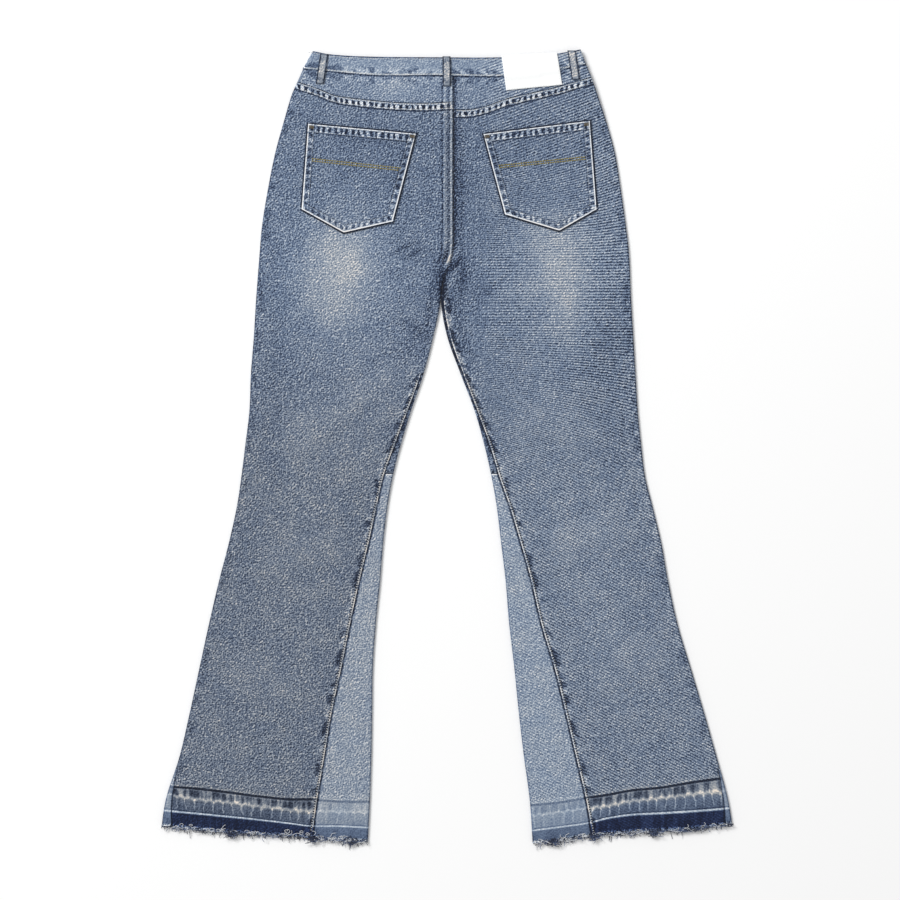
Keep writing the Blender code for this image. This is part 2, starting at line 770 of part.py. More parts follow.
def hem_fray(half, face):
    """Narrow strip of loose yarns along a raw hem, with its tufts drawn out of the strip's lower edge."""
    rng = random.Random(half + face)
    start, end = sorted(
        edge_x(half, edge, HEM_LEVEL) + inward(half, edge) * FRAY_FROM_EDGE for edge in ("inner", "outer")
    )
    base = LAID_HEIGHT - FRAY_BELOW_BACK if face == "back" else FRAY_ABOVE_FLOOR
    segments = 2 * FRAY_TUFTS[face] + 1
    width = (end - start) / segments
    steps = [start + width * rng.uniform(i - 0.3, i + 0.3) for i in range(1, segments)]
    places = [start] + steps + [end]
    mesh_data = bmesh.new()
    bmesh.ops.create_grid(mesh_data, x_segments=segments, y_segments=1, size=1)
    for j, row in enumerate(grid_points(mesh_data)):
        for x, vertex in zip(places, row):
            y = HEM[half](x) - FRAY_GAP - FRAY_STRIP * j
            vertex.co = (x, y, base)
    bmesh.ops.translate(mesh_data, verts=raised(mesh_data), vec=(0, 0, FRAY_CLOTH))
    bmesh.ops.recalc_face_normals(mesh_data, faces=mesh_data.faces)
    lower = sorted(
        (f for f in mesh_data.faces if f.normal.y < -0.8), key=lambda f: f.calc_center_median().x
    )
    tufts = lower[1::2]
    drawn = bmesh.ops.extrude_discrete_faces(mesh_data, faces=tufts)["faces"]
    for tip in drawn:
        middle = tip.calc_center_median()
        length, lean = rng.uniform(*FRAY_LENGTHS), rng.uniform(-FRAY_LEAN, FRAY_LEAN)
        for vertex in tip.verts:
            vertex.co = middle + (vertex.co - middle) * FRAY_TIP_SHARE
            vertex.co.x += lean
            vertex.co.y -= length
    name = "hem_fray_" + half if face == "back" else "hem_fray_front_" + half
    add_object(name, mesh_data, "thread")


for old in list(bpy.data.objects):
    bpy.data.objects.remove(old, do_unlink=True)

for side in HALVES:
    back_leg(side)
    front_leg(side)
    inner_insert(side)
    side_insert(side)
    yoke(side)
    back_pocket(side)
    hem_fray(side, "back")
    hem_fray(side, "front")
waistband()
waist_patch()
waist_button()
for loop in LOOPS:
    belt_loop(*loop)
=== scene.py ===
"""Looks of flared jeans laid flat with their back up.

Sizes are in millimetres. Points are drawn from the middle of the outline, and SHIFT moves them into the
frame, whose origin is on the floor under the middle of the garment.
"""

import math
import random

import bmesh
import bpy
import numpy as np
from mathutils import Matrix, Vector


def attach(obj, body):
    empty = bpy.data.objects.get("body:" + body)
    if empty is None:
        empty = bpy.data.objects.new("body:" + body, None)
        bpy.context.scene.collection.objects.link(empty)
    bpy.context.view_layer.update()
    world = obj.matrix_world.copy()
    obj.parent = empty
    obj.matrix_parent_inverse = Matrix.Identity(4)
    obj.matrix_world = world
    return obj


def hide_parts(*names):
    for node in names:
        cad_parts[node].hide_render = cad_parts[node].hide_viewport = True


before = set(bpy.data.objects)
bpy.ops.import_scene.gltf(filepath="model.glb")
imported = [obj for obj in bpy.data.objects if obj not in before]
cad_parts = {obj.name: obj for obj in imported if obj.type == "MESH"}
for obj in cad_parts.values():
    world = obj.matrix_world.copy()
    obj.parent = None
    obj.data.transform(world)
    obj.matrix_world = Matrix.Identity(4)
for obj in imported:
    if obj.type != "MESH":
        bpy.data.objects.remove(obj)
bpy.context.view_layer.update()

MM = 0.001
SHIFT = np.array((1.5, 4.6, 0.0))

# ---------------------------------------------------------------- Front panels
# The two front panels lie underneath. Washed cotton twill of 1.1 mm, sewn to the inserts from the knee
# down, and folded round the inner edge so that a darker strip of each shows on the back, with painted shade
# where the back's edge lies on it.

CLOTH = 1.1
SEAM_GAP = 0.3
HALF_GAP = SEAM_GAP / 2
LAID_HEIGHT = 4.2
WAIST_LAID_HEIGHT = 4.6
WAIST_LIFT = 3.0
WAIST_LIFT_LENGTH = 110.0
WAIST_LEVEL = 513.0
FRONT_DIP = 15.0
HALF_WAIST = 185.0
EDGE_REACH = 2.6
SEAM_LIP_REACH = 0.25
FACE_START = 3.1

CROTCH_Y = 244.0
FORK_Y = 200.0
STRIP_TOP_Y = 98.0
INSERT_TOP_Y = -35.0
WEDGE_TOP_Y = -437.0
HEM_LEVEL = -530.0
INSERT_TOP_WIDTH = 22.0
INSERT_HEM_WIDTH = 110.0

# Height, side edge, inner edge below the fork, and how wide the piece folded round the inner edge shows
HALVES = {
    "left": (
        (-540, -392, -109, 76), (-480, -384, -106, 71), (-420, -365, -104, 63), (-360, -351, -103, 54),
        (-300, -338, -102, 42), (-240, -325, -98, 34), (-180, -311, -92, 27), (-130, -298, -88, 19),
        (-80, -287, -82, 14), (-40, -281, -75, 12), (0, -276, -65, 8), (50, -270, -50, 4),
        (100, -268, -33, 3), (150, -264, -20, 3), (200, -261, -10, 3), (265, -256, -10, 3),
        (300, -253, -10, 3), (350, -245, -10, 3), (400, -235, -10, 3), (440, -224, -10, 3),
        (480, -212, -10, 3), (500, -203, -10, 3), (520, -194, -10, 3), (541, -182, -10, 3),
    ),
    "right": (
        (-540, 390, 115, 82), (-480, 381, 111, 76), (-420, 365, 103, 70), (-360, 348, 96, 63),
        (-300, 330, 90, 54), (-240, 312, 83, 43), (-180, 299, 78, 34), (-130, 290, 72, 26),
        (-80, 278, 66, 17), (-40, 268, 59, 10), (0, 263, 50, 7), (50, 258, 36, 3),
        (100, 255, 17, 3), (150, 252, -1, 3), (200, 249, -10, 3), (265, 246, -10, 3),
        (300, 242, -10, 3), (350, 235, -10, 3), (400, 227, -10, 3), (440, 216, -10, 3),
        (480, 203, -10, 3), (500, 196, -10, 3), (520, 188, -10, 3), (541, 180, -10, 3),
    ),
}
OUTWARD = {"left": -1, "right": 1}
WEDGE = {"left": 17.0, "right": 12.0}

# Lines across the garment: side place and height
SEAT_SEAM = ((200, -10), (229, -6), (244, 0), (262, 6.5), (282, 8), (310, 8), (541, 8))
WAIST_SEAM = ((-196, 514), (-167, 511), (-97, 505), (-18, 505), (76, 504), (152, 513), (190, 521))

# Let-down hems: side place, raw edge, old fold, bleached line and old stitch line
HEMS = {
    "left": (
        (-392, -515, -492, -470, -460), (-337, -520, -497, -479, -464), (-296, -524, -501, -483, -469),
        (-258, -526, -505, -488, -474), (-216, -528, -510, -493, -478), (-186, -530, -514, -495, -478),
        (-150, -534, -514, -496, -481), (-109, -536, -516, -497, -481),
    ),
    "right": (
        (115, -538, -520, -501, -486), (154, -534, -515, -496, -482), (189, -529, -510, -491, -476),
        (216, -526, -503, -488, -472), (249, -524, -498, -481, -466), (290, -522, -496, -477, -462),
        (338, -519, -493, -471, -454), (390, -511, -489, -467, -447),
    ),
}
HEM_NOMINAL = (0.0, 16.0, 34.0, 50.0)
# How tan the faded cloth of each half is, and how tan it grows as it fades
TAN_SHARE = {"left": 0.66, "right": 0.24}
FADE_TAN = 2.3
# How much the folds' ridges are painted lighter and their troughs darker: partly worn fading, partly painted
# highlight and shade
FOLD_BLEACH_AND_SHADE = 0.035

# The right leg's twill has fine ripples across it, which lean below the knee and again at the hip
RIPPLE = 3.9
RIPPLE_PIVOT = 232.0
RIPPLE_STRENGTH = 0.24
NO_SEAM = 999.0
ON_TOP = 2.2

# Folds pressed into the back: both ends, half width and height. Sharper creases follow the large folds.
FOLDS = (
    (-45, 120, -235, -25, 34, 1.7), (-20, 262, -110, 292, 20, 1.0), (-30, 190, -90, 205, 20, 1.1),
    (40, 225, 130, 205, 22, 1.0), (62, 50, 225, 5, 34, 1.5), (-120, -120, -265, -165, 32, 1.2),
    (115, -140, 262, -100, 32, 1.3), (-185, -335, -320, -300, 34, 1.0), (180, -310, 310, -275, 34, 1.1),
)
CREASES = (
    (-96, 308, -14, 272, 6, -0.8), (-72, 180, -20, 150, 6, -0.7), (-30, 236, -84, 226, 5, -0.5),
    (-58, 92, -222, -52, 9, -0.7), (-48, 142, -198, 44, 8, -0.5), (-30, 160, -150, 118, 7, 0.5),
    (20, 196, 92, 236, 6, -0.6), (26, 168, 118, 172, 6, -0.4), (70, 22, 232, -20, 9, -0.7),
    (58, 84, 170, 66, 7, 0.4), (-110, -92, -242, -130, 8, -0.5), (-118, -160, -276, -196, 9, -0.6),
    (108, -112, 240, -76, 8, -0.6), (128, -176, 268, -134, 9, -0.5), (-170, -306, -300, -266, 8, -0.4),
    (-196, -372, -330, -342, 9, -0.5), (176, -348, 322, -312, 9, -0.5), (-236, 60, -262, -70, 7, -0.4),
    (236, 90, 244, -60, 7, -0.4), (-190, 262, -236, 180, 9, 0.5), (190, 250, 232, 170, 9, 0.4),
)
UNDER_CREASES = (
    (-60, 250, -130, 230, 8, 0.4), (20, 250, 110, 226, 9, 0.5), (-80, 60, -230, -10, 9, 0.4),
    (90, 20, 230, -30, 8, 0.5), (-150, -220, -270, -180, 9, 0.4), (150, -260, 270, -230, 8, 0.4),
)
FOLD_FADE = 30.0
FOLD_END_SHARE = 0.35

# Where the indigo has worn off or stayed, in wash level, with narrow dark entries that are painted shade in
# creases at the crotch and on the thighs, between the legs and beside the seat seam: middle, half length,
# half width, tilt and amount
FADES_AND_SHADES = (
    (-146, 246, 92, 56, 84, 0.285), (150, 252, 98, 52, 98, 0.23), (172, 180, 60, 26, 95, 0.08),
    (0, 372, 240, 110, 0, -0.035), (205, 150, 90, 62, 92, -0.07), (-190, -20, 110, 60, 80, 0.025),
    (-70, 491, 38, 20, 0, 0.1), (20, 228, 30, 10, 80, -0.2), (-8, 217, 28, 5, 86, -0.8),
    (2, 256, 14, 3.6, 52, 0.4), (10, 248, 14, 3.4, 52, -0.5), (-5, 260, 10, 3.6, 80, -0.4),
    (16, 357, 120, 7, 90, -0.16), (-79, 104, 34, 9, 51, 0.07), (-240, 120, 150, 20, 92, -0.04),
    (140, 60, 150, 60, 80, 0.03), (-200, -180, 170, 60, 80, 0.02), (195, -190, 170, 60, 100, 0.03),
    (-55, 276, 60, 14, 158, -0.07), (-40, 158, 30, 8, 150, -0.12), (60, 215, 50, 9, 28, -0.08),
    (-70, 200, 60, 30, 0, -0.03), (-22, 200, 60, 7, 82, -0.14), (14, 170, 60, 8, 108, -0.12),
    (-62, 270, 18, 3.2, 28, -0.22), (-50, 261, 15, 3.2, 30, -0.2), (-120, -20, 60, 16, 45, 0.04),
    (-60, 130, 60, 10, 55, -0.05),
)


def curve(points):
    """A function that runs smoothly through (position, value) points, for arrays."""
    at, values = np.array(points, float).T
    place = np.arange(len(at))
    before, after = np.maximum(place - 1, 0), np.minimum(place + 1, len(at) - 1)
    slopes = (values[after] - values[before]) / (at[after] - at[before])

    def read(position):
        position = np.clip(position, at[0], at[-1])
        i = np.clip(np.searchsorted(at, position, "right") - 1, 0, len(at) - 2)
        span = at[i + 1] - at[i]
        t = (position - at[i]) / span
        leave, arrive = t * (1 - t) ** 2 * span, t * t * (t - 1) * span
        rise = (values[i + 1] - values[i]) * t * t * (3 - 2 * t)
        return values[i] + rise + slopes[i] * leave + slopes[i + 1] * arrive

    return read


def ease(share):
    """A smooth step from 0 to 1, held flat outside that range."""
    share = np.clip(share, 0.0, 1.0)
    return share * share * (3 - 2 * share)


OUTER, LEG_INNER, INSERT = [
    {half: curve([(line[0], line[n]) for line in rows]) for half, rows in HALVES.items()} for n in (1, 2, 3)
]
HEM_LINES = {half: [curve([(line[0], line[n]) for line in rows]) for n in (1, 2, 3, 4)]
             for half, rows in HEMS.items()}
SEAT = curve(SEAT_SEAM)
SEAM_AT_WAIST = curve(WAIST_SEAM)


def edge_x(half, edge, y):
    """Side place of the tip of a folded or sewn edge."""
    if edge == "outer":
        return OUTER[half](y)
    middle = np.where(y >= FORK_Y, SEAT(y), LEG_INNER[half](y))
    return middle + OUTWARD[half] * HALF_GAP


def inward(half, edge):
    return -OUTWARD[half] if edge == "outer" else OUTWARD[half]


def edge_reach(edge, y):
    """How far the rounding of an edge reaches in: it shrinks to a lip along the seat seam."""
    if edge == "outer":
        return EDGE_REACH
    return SEAM_LIP_REACH + (EDGE_REACH - SEAM_LIP_REACH) * ease((CROTCH_Y - y) / (CROTCH_Y - FORK_Y))


def lift(y):
    """Height of the underside, which the loops and button hold up at the waist."""
    return WAIST_LIFT * ease(1 - (WAIST_LEVEL - y) / WAIST_LIFT_LENGTH)


def laid_height(y):
    share = ease(1 - (WAIST_LEVEL - y) / WAIST_LIFT_LENGTH)
    return LAID_HEIGHT + (WAIST_LAID_HEIGHT - LAID_HEIGHT) * share


def ridges(table, x, y):
    """Sum of soft ridges and troughs at a point."""
    height = np.zeros(np.broadcast(x, y).shape)
    for x0, y0, x1, y1, spread, rise in table:
        length = math.hypot(x1 - x0, y1 - y0)
        along = ((x - x0) * (x1 - x0) + (y - y0) * (y1 - y0)) / length
        aside = ((x - x0) * (y1 - y0) - (y - y0) * (x1 - x0)) / length
        fade = length * FOLD_END_SHARE
        ends = ease(along / fade) * ease((length - along) / fade)
        height += rise * ends * np.exp(-((aside / spread) ** 2))
    return height


def from_edges(half, x, y):
    """Distance in from the nearer edge."""
    return np.minimum(abs(x - edge_x(half, "outer", y)), abs(x - edge_x(half, "inner", y)))


def back_z(half, x, y):
    """Height of the back's face inside its rounded edges, with its folds and creases."""
    above_hem = y - HEM_LINES[half][0](x)
    calm = ease(from_edges(half, x, y) / FOLD_FADE) * ease(above_hem / (2 * FOLD_FADE))
    return lift(y) + laid_height(y) + ridges(FOLDS + CREASES, x, y) * calm


def under_z(half, x, y):
    """Height of the hidden underside, which is flat where it rests."""
    return lift(y) + ridges(UNDER_CREASES, x, y) * ease(from_edges(half, x, y) / FOLD_FADE)


def insert_width(y):
    """Whole width of an insert, front and back together."""
    down = np.clip((INSERT_TOP_Y - y) / (INSERT_TOP_Y - HEM_LEVEL), 0.0, 1.0)
    return INSERT_TOP_WIDTH + (INSERT_HEM_WIDTH - INSERT_TOP_WIDTH) * down


def wedge_width(half, y):
    """How much of the side insert shows on the back."""
    down = np.clip((WEDGE_TOP_Y - y) / (WEDGE_TOP_Y - HEM_LEVEL), 0.0, 1.0)
    return FACE_START + (WEDGE[half] - FACE_START) * down


def under_share(half, y):
    return insert_width(y) - INSERT[half](np.minimum(y, INSERT_TOP_Y))


def side_share(half, y):
    return insert_width(y) - np.where(y < WEDGE_TOP_Y, wedge_width(half, y), 0.0)


# Stations on a rounded edge: 90 is its top, 0 its tip and -90 its underside
UNDER_TO_TIP = (-80, -68, -54, -40, -26, -14, -4)
TIP_TO_TOP = (4, 14, 26, 40, 54, 68, 80, 90)


def rounded(half, edge, turns):
    """Stations on a rounded edge, one for each of these degrees."""

    def on_edge(degrees):
        def station(y):
            reach, tall = edge_reach(edge, y), laid_height(y)
            middle = edge_x(half, edge, y) + inward(half, edge) * reach
            x = middle - inward(half, edge) * reach * math.cos(math.radians(degrees))
            return x, lift(y) + tall / 2 + tall / 2 * math.sin(math.radians(degrees))

        return station

    return [on_edge(degrees) for degrees in turns]


def on_face(half, edge, distance, level, sink=0.0):
    """A station a distance in from an edge's tip, on the face whose height level(half, x, y) gives."""

    def station(y):
        away = distance(y) if callable(distance) else distance
        x = edge_x(half, edge, y) + inward(half, edge) * away
        return x, level(half, x, y) - sink

    return station


def spaced(half, first, last, count, level):
    """Stations that share out the cloth between two others, without the two themselves."""

    def make(share):
        def station(y):
            x = first(y)[0] * (1 - share) + last(y)[0] * share
            return x, level(half, x, y)

        return station

    return [make((i + 1) / (count + 1)) for i in range(count)]


def rows_between(heights, step, fine=(0.4, 1.0, 2.0)):
    """Levels from the first height to the last: each height has a row, and rows crowd at both ends."""
    levels = [heights[0] - f for f in (0.0,) + fine]
    for upper, lower in zip(heights, heights[1:]):
        count = max(1, round((upper - lower) / step))
        levels += [upper + (lower - upper) * i / count for i in range(1, count)] + [lower]
    levels += [heights[-1] + f for f in fine]
    return np.array(sorted(set(np.round(levels, 4)), reverse=True))


def between_lines(top, bottom, top_level, bottom_level, blend):
    """Height of a row at a side place: the end rows follow their seams, and the next ones ease off them."""

    def height(x, level):
        to_top = np.maximum(0.0, 1 - (top_level - level) / blend)
        to_bottom = np.maximum(0.0, 1 - (level - bottom_level) / blend)
        return level + (top(x) - top_level) * to_top + (bottom(x) - bottom_level) * to_bottom

    return height


def placed_grid(stations, levels, height):
    """Points for every station and level: an array of columns, rows and coordinates."""
    points = np.empty((len(stations), len(levels), 3))
    for i, station in enumerate(stations):
        y = height(np.zeros(len(levels)), levels)
        for _ in range(6):
            y = height(station(y)[0], levels)
        x, z = station(y)
        points[i] = np.stack((x, y, z), axis=1)
    return points


def placed(name, data):
    """A new object in the scene, at the origin."""
    piece = bpy.data.objects.new(name, data)
    bpy.context.scene.collection.objects.link(piece)
    return piece


def built(name, form, finish):
    """A new object with the mesh that was built, smooth all over."""
    mesh = bpy.data.meshes.new(name)
    form.to_mesh(mesh)
    form.free()
    mesh.materials.append(finish)
    mesh.polygons.foreach_set("use_smooth", np.ones(len(mesh.polygons), bool))
    return placed(name, mesh)


def cloth(name, points, finish, facts, kept=None, thickness=CLOTH, flip=False):
    """A thin shell over a grid of points, whose outside is the side that its columns turn round.

    facts are named values for each point that the finish reads, kept says which cells are cloth, and flip
    takes the columns the other way round.
    """
    columns, rows = points.shape[0] - 1, points.shape[1] - 1
    if kept is None:
        kept = np.ones((columns, rows), bool)
    if flip:
        points, kept = points[::-1], kept[::-1]
        facts = {fact: values[::-1] for fact, values in facts.items()}
    grid = bmesh.new()
    bmesh.ops.create_grid(grid, x_segments=columns, y_segments=rows, size=1)
    dropped = []
    for face in grid.faces:
        middle = face.calc_center_median()
        if not kept[int((middle.x + 1) / 2 * columns), int((1 - middle.y) / 2 * rows)]:
            dropped.append(face)
    bmesh.ops.delete(grid, geom=dropped, context="FACES")
    piece = built(name, grid, finish)
    mesh = piece.data
    spots = np.empty(len(mesh.vertices) * 3)
    mesh.vertices.foreach_get("co", spots)
    i = np.rint((spots[0::3] + 1) / 2 * columns).astype(int)
    j = np.rint((1 - spots[1::3]) / 2 * rows).astype(int)
    mesh.vertices.foreach_set("co", ((points[i, j] + SHIFT) * MM).ravel())
    for fact, values in facts.items():
        kind, key = ("FLOAT_VECTOR", "vector") if values.ndim == 3 else ("FLOAT", "value")
        mesh.attributes.new(fact, kind, "POINT").data.foreach_set(key, values[i, j].ravel())
    mesh.update()
    wall = piece.modifiers.new("wall", "SOLIDIFY")
    wall.thickness = thickness * MM
    wall.offset = -1
    return piece


def cells(levels, stations, keep):
    """Which cells are cloth: keep(column, upper level, lower level)."""
    return np.array([[keep(i, upper, lower) for upper, lower in zip(levels, levels[1:])]
                     for i in range(len(stations) - 1)])


def hem_coordinate(half, x, y):
    """Height above the raw edge, with the hem's old lines at their nominal heights."""
    lines = [line(x) for line in HEM_LINES[half]]
    height = HEM_NOMINAL[0] + (y - lines[0])
    for low, high, start, end in zip(lines, lines[1:], HEM_NOMINAL, HEM_NOMINAL[1:]):
        height = np.where(y > low, start + (y - low) / (high - low) * (end - start), height)
    return np.where(y > lines[-1], HEM_NOMINAL[-1] + y - lines[-1], height)


def worn(half, points, side=None, seam=None, top=None, side_run=None, seam_run=None, hem=True,
         strength=1.0, tan=1.0):
    """What a finish reads at each point: seam distances, runs along them, hem height, and dye and painted
    shade.

    The dye and shade entry holds the wash level's change, partly worn fading and partly painted shade and
    highlight of folds, creases and seams, how tan the cloth is and how strong its ripples are.
    """
    x, y = points[..., 0], points[..., 1]
    none = np.full(x.shape, NO_SEAM)
    # Folds painted lighter on their ridges and darker in their troughs: partly worn fading, partly painted
    # highlight and shade
    fade = FOLD_BLEACH_AND_SHADE * ridges(FOLDS + CREASES, x, y)
    # The narrow dark entries paint shade in creases and beside seams; the rest is worn fading
    for middle_x, middle_y, long, short, tilt, amount in FADES_AND_SHADES:
        c, s = math.cos(math.radians(tilt)), math.sin(math.radians(tilt))
        u = ((x - middle_x) * c + (y - middle_y) * s) / long
        v = ((y - middle_y) * c - (x - middle_x) * s) / short
        fade = fade + amount * np.exp(-(u * u + v * v) * 1.3)
    greyed = TAN_SHARE[half] * ease((260 - y) / 330) + FADE_TAN * np.maximum(0, fade - 0.03)
    ripple = RIPPLE_STRENGTH * ease((x - 20) / 50) + 0.06 * ease((x - 130) / 80) * ease(y / 80)
    ripple = ripple * (1 - 1.6 * np.clip(fade, 0, 0.3))
    lean = np.tan(np.radians(-27 + 27 * ease((y + 50) / 230) + 20 * ease((y - 250) / 150)))
    cycles = (y - (x - RIPPLE_PIVOT) * lean) / RIPPLE
    cycles = cycles - 0.0009 * np.maximum(0, x - 170) ** 2 * ease((y - 200) / 150) / RIPPLE
    runs = (y if side_run is None else side_run, y if seam_run is None else seam_run, x)
    return {
        "edge_mm": np.stack([none if d is None else d for d in (side, seam, top)], axis=2),
        "run_mm": np.stack(runs, axis=2),
        "hem_mm": hem_coordinate(half, x, y) if hem else none,
        "dye": np.stack((fade * strength, np.clip(greyed * tan, 0, 1), ripple * strength), axis=2),
        "ripple_cycles": cycles,
    }


def linear(code):
    """An sRGB hex colour as the linear one that a shader takes."""
    parts = [int(code[i : i + 2], 16) / 255 for i in (1, 3, 5)]
    return tuple(c / 12.92 if c <= 0.04045 else ((c + 0.055) / 1.055) ** 2.4 for c in parts) + (1.0,)


# Kinds of node, each with its settings
PLUS, MINUS, TIMES, SINE, SIZE, MOST, LEAST = [
    ("Math", {"operation": name})
    for name in ("ADD", "SUBTRACT", "MULTIPLY", "SINE", "ABSOLUTE", "MAXIMUM", "MINIMUM")
]
STEP = ("MapRange", {"interpolation_type": "SMOOTHSTEP"})
TINT = ("Mix", {"data_type": "RGBA", "blend_type": "MULTIPLY"})
NOISE, MAPPING, SPLIT, JOIN, BUMP, PLACE = [
    (name, {}) for name in ("TexNoise", "Mapping", "SeparateXYZ", "CombineXYZ", "Bump", "TexCoord")
]


def add(tree, kind, *inputs):
    """Adds a node of a kind and fills its inputs, in their order or by name from one dictionary.

    An input is a value, a socket, a node, or a kind and its own inputs. A long sum or product is a chain
    of nodes, and a ramp's stops are its places and colours.
    """
    name, settings = kind
    if kind in (PLUS, TIMES) and len(inputs) > 2:
        inputs = ((kind, *inputs[:-1]), inputs[-1])
    node = tree.nodes.new("ShaderNode" + name)
    for setting, value in settings.items():
        if setting == "stops":
            stops = node.color_ramp.elements
            for i, (at, colour) in enumerate(value):
                stop = stops[i] if i < 2 else stops.new(at)
                stop.position = at
                stop.color = colour
        else:
            setattr(node, setting, value)
    named = inputs and isinstance(inputs[0], dict)
    for socket, value in inputs[0].items() if named else enumerate(inputs):
        if isinstance(value, tuple) and isinstance(value[0], tuple):
            value = add(tree, *value)
        if isinstance(value, bpy.types.Node):
            value = value.outputs[0]
        if isinstance(value, bpy.types.NodeSocket):
            tree.links.new(value, node.inputs[socket])
        else:
            node.inputs[socket].default_value = value
    return node


def surface(name, values):
    """A material whose main shader has these values."""
    material = bpy.data.materials.new(name)
    material.use_nodes = True
    for socket, value in values.items():
        material.node_tree.nodes["Principled BSDF"].inputs[socket].default_value = value
    return material


def seam_wear_and_shade_group():
    """How a seam has worn, and where shade is painted beside it: a pale worn line at its edge with painted
    shade at the very edge; painted edge shade alone where Line is negative; rungs between stitch rows with a
    painted shadow past the second row; and roping beside it.
    """
    tree = bpy.data.node_groups.new("seam wear and shade", "ShaderNodeTree")
    # Line is the strength of a pale worn line with painted shade at its very edge; a negative Line paints
    # only shade along the edge
    for name in ("Distance", "Run", "Line", "Rungs", "Far", "Rope", "Broken"):
        tree.interface.new_socket(name, in_out="INPUT", socket_type="NodeSocketFloat")
    tree.interface.new_socket("Wash and shade", in_out="OUTPUT", socket_type="NodeSocketFloat")
    given = tree.nodes.new("NodeGroupInput").outputs
    distance, run = given["Distance"], given["Run"]
    slanted = (PLUS, (TIMES, distance, 0.4), run)
    patches = add(tree, NOISE, {"Vector": (JOIN, (TIMES, slanted, 0.068), (TIMES, distance, 0.06)),
                                "Scale": 1.0, "Detail": 2.0, "Roughness": 0.6})
    uneven = add(tree, STEP, patches, 0.36, 0.6, (MINUS, 1.0, given["Broken"]), 1.15)
    # The pale worn line, with painted shade within 0.8 mm of the edge
    pale = (TIMES, (STEP, distance, 0.8, 1.4, -1.2, 1.0), (STEP, distance, 2.2, 3.0, 1.0, 0.0))
    # Painted shade along the edge, used where Line is negative
    dark = (TIMES, (STEP, distance, 0.9, 2.3, -1.0, 0.0), uneven)
    line = (PLUS, (TIMES, pale, uneven, (MOST, given["Line"], 0.0)),
            (TIMES, dark, (LEAST, given["Line"], 0.0), -1.0))
    past = add(tree, MINUS, given["Far"], distance)
    window = (TIMES, (STEP, distance, 2.8, 3.8), (STEP, past, -0.4, 0.8))
    turn = (PLUS, (TIMES, run, 0.78), (TIMES, patches, 9.0))
    beat = (TIMES, (STEP, (SINE, turn), -0.6, 0.6, -1.0, 0.7), uneven)
    second = (TIMES, (STEP, past, -0.6, 0.3, 0.0, 0.6), (STEP, past, 1.0, 1.9, 1.0, 0.0), uneven)
    # Painted shadow just past the second stitch row, below the folded layers' edge
    under = (TIMES, (STEP, past, -2.6, -1.6, 0.0, -0.75), (STEP, past, -0.6, 0.1, 1.0, 0.0))
    rungs = (TIMES, (PLUS, (TIMES, window, beat), second, under), given["Rungs"])
    beside = (TIMES, (STEP, distance, 1.4, 3.6), (STEP, distance, 6.0, 14.0, 1.0, 0.0))
    rope = (TIMES, beside, (STEP, patches, 0.42, 0.56, -1.0, 0.35), given["Rope"])
    wash = add(tree, PLUS, line, rungs, rope)
    tree.links.new(wash.outputs[0], tree.nodes.new("NodeGroupOutput").inputs["Wash and shade"])
    return tree


SEAM_WEAR_AND_SHADE = ("Group", {"node_tree": seam_wear_and_shade_group()})

# Indigo from unwashed to bleached
WASH = ((0.0, "#141c2f"), (0.14, "#26334c"), (0.3, "#475670"), (0.5, "#6b7c96"), (0.68, "#91a0b3"),
        (0.84, "#bbc6d2"), (1.0, "#f2f4f6"))
TAN = "#fff0e0"
UNWASHED = "#c2cff2"

# Change of wash level at each height of a let-down hem, for the dark denim and for the paler inserts. The
# dark band at the old stitch line is painted shadow, and the paler band just above it painted highlight, of a
# ridge there.
HEM_WASH = {
    "dark": ((0, -0.1), (2.5, -0.28), (4.0, -0.38), (14.0, -0.35), (15.1, 0.36), (16.1, 0.36), (17.0, -0.36),
             (18.6, -0.12), (29.5, 0.0), (32.8, 0.34), (34.2, 0.34), (37.0, 0.04), (45.5, -0.03), (47.6, 0.1),
             (48.8, -0.46), (51.0, -0.46), (52.2, 0.18), (54.5, 0.03), (60, 0.0)),
    "pale": ((0, -0.1), (2.5, -0.2), (4.0, -0.26), (14.2, -0.22), (15.2, 0.2), (16.2, 0.2), (17.2, -0.24),
             (19.0, -0.04), (31.5, 0.02), (33.0, 0.16), (34.4, 0.14), (36.5, 0.02), (47.5, 0.03),
             (48.9, -0.2), (50.8, -0.2), (52.2, 0.1), (54.5, 0.02), (60, 0.0)),
}
HEM_TOP = 60.0
# How strong the marks above the old fold, the streaks and the tan are
HEM_STRENGTH = {"dark": (-1.0, 1.0, 0.6), "pale": (-0.35, 0.4, 0.0)}
# One mark above the old fold, side to side
ARCH = 12.8


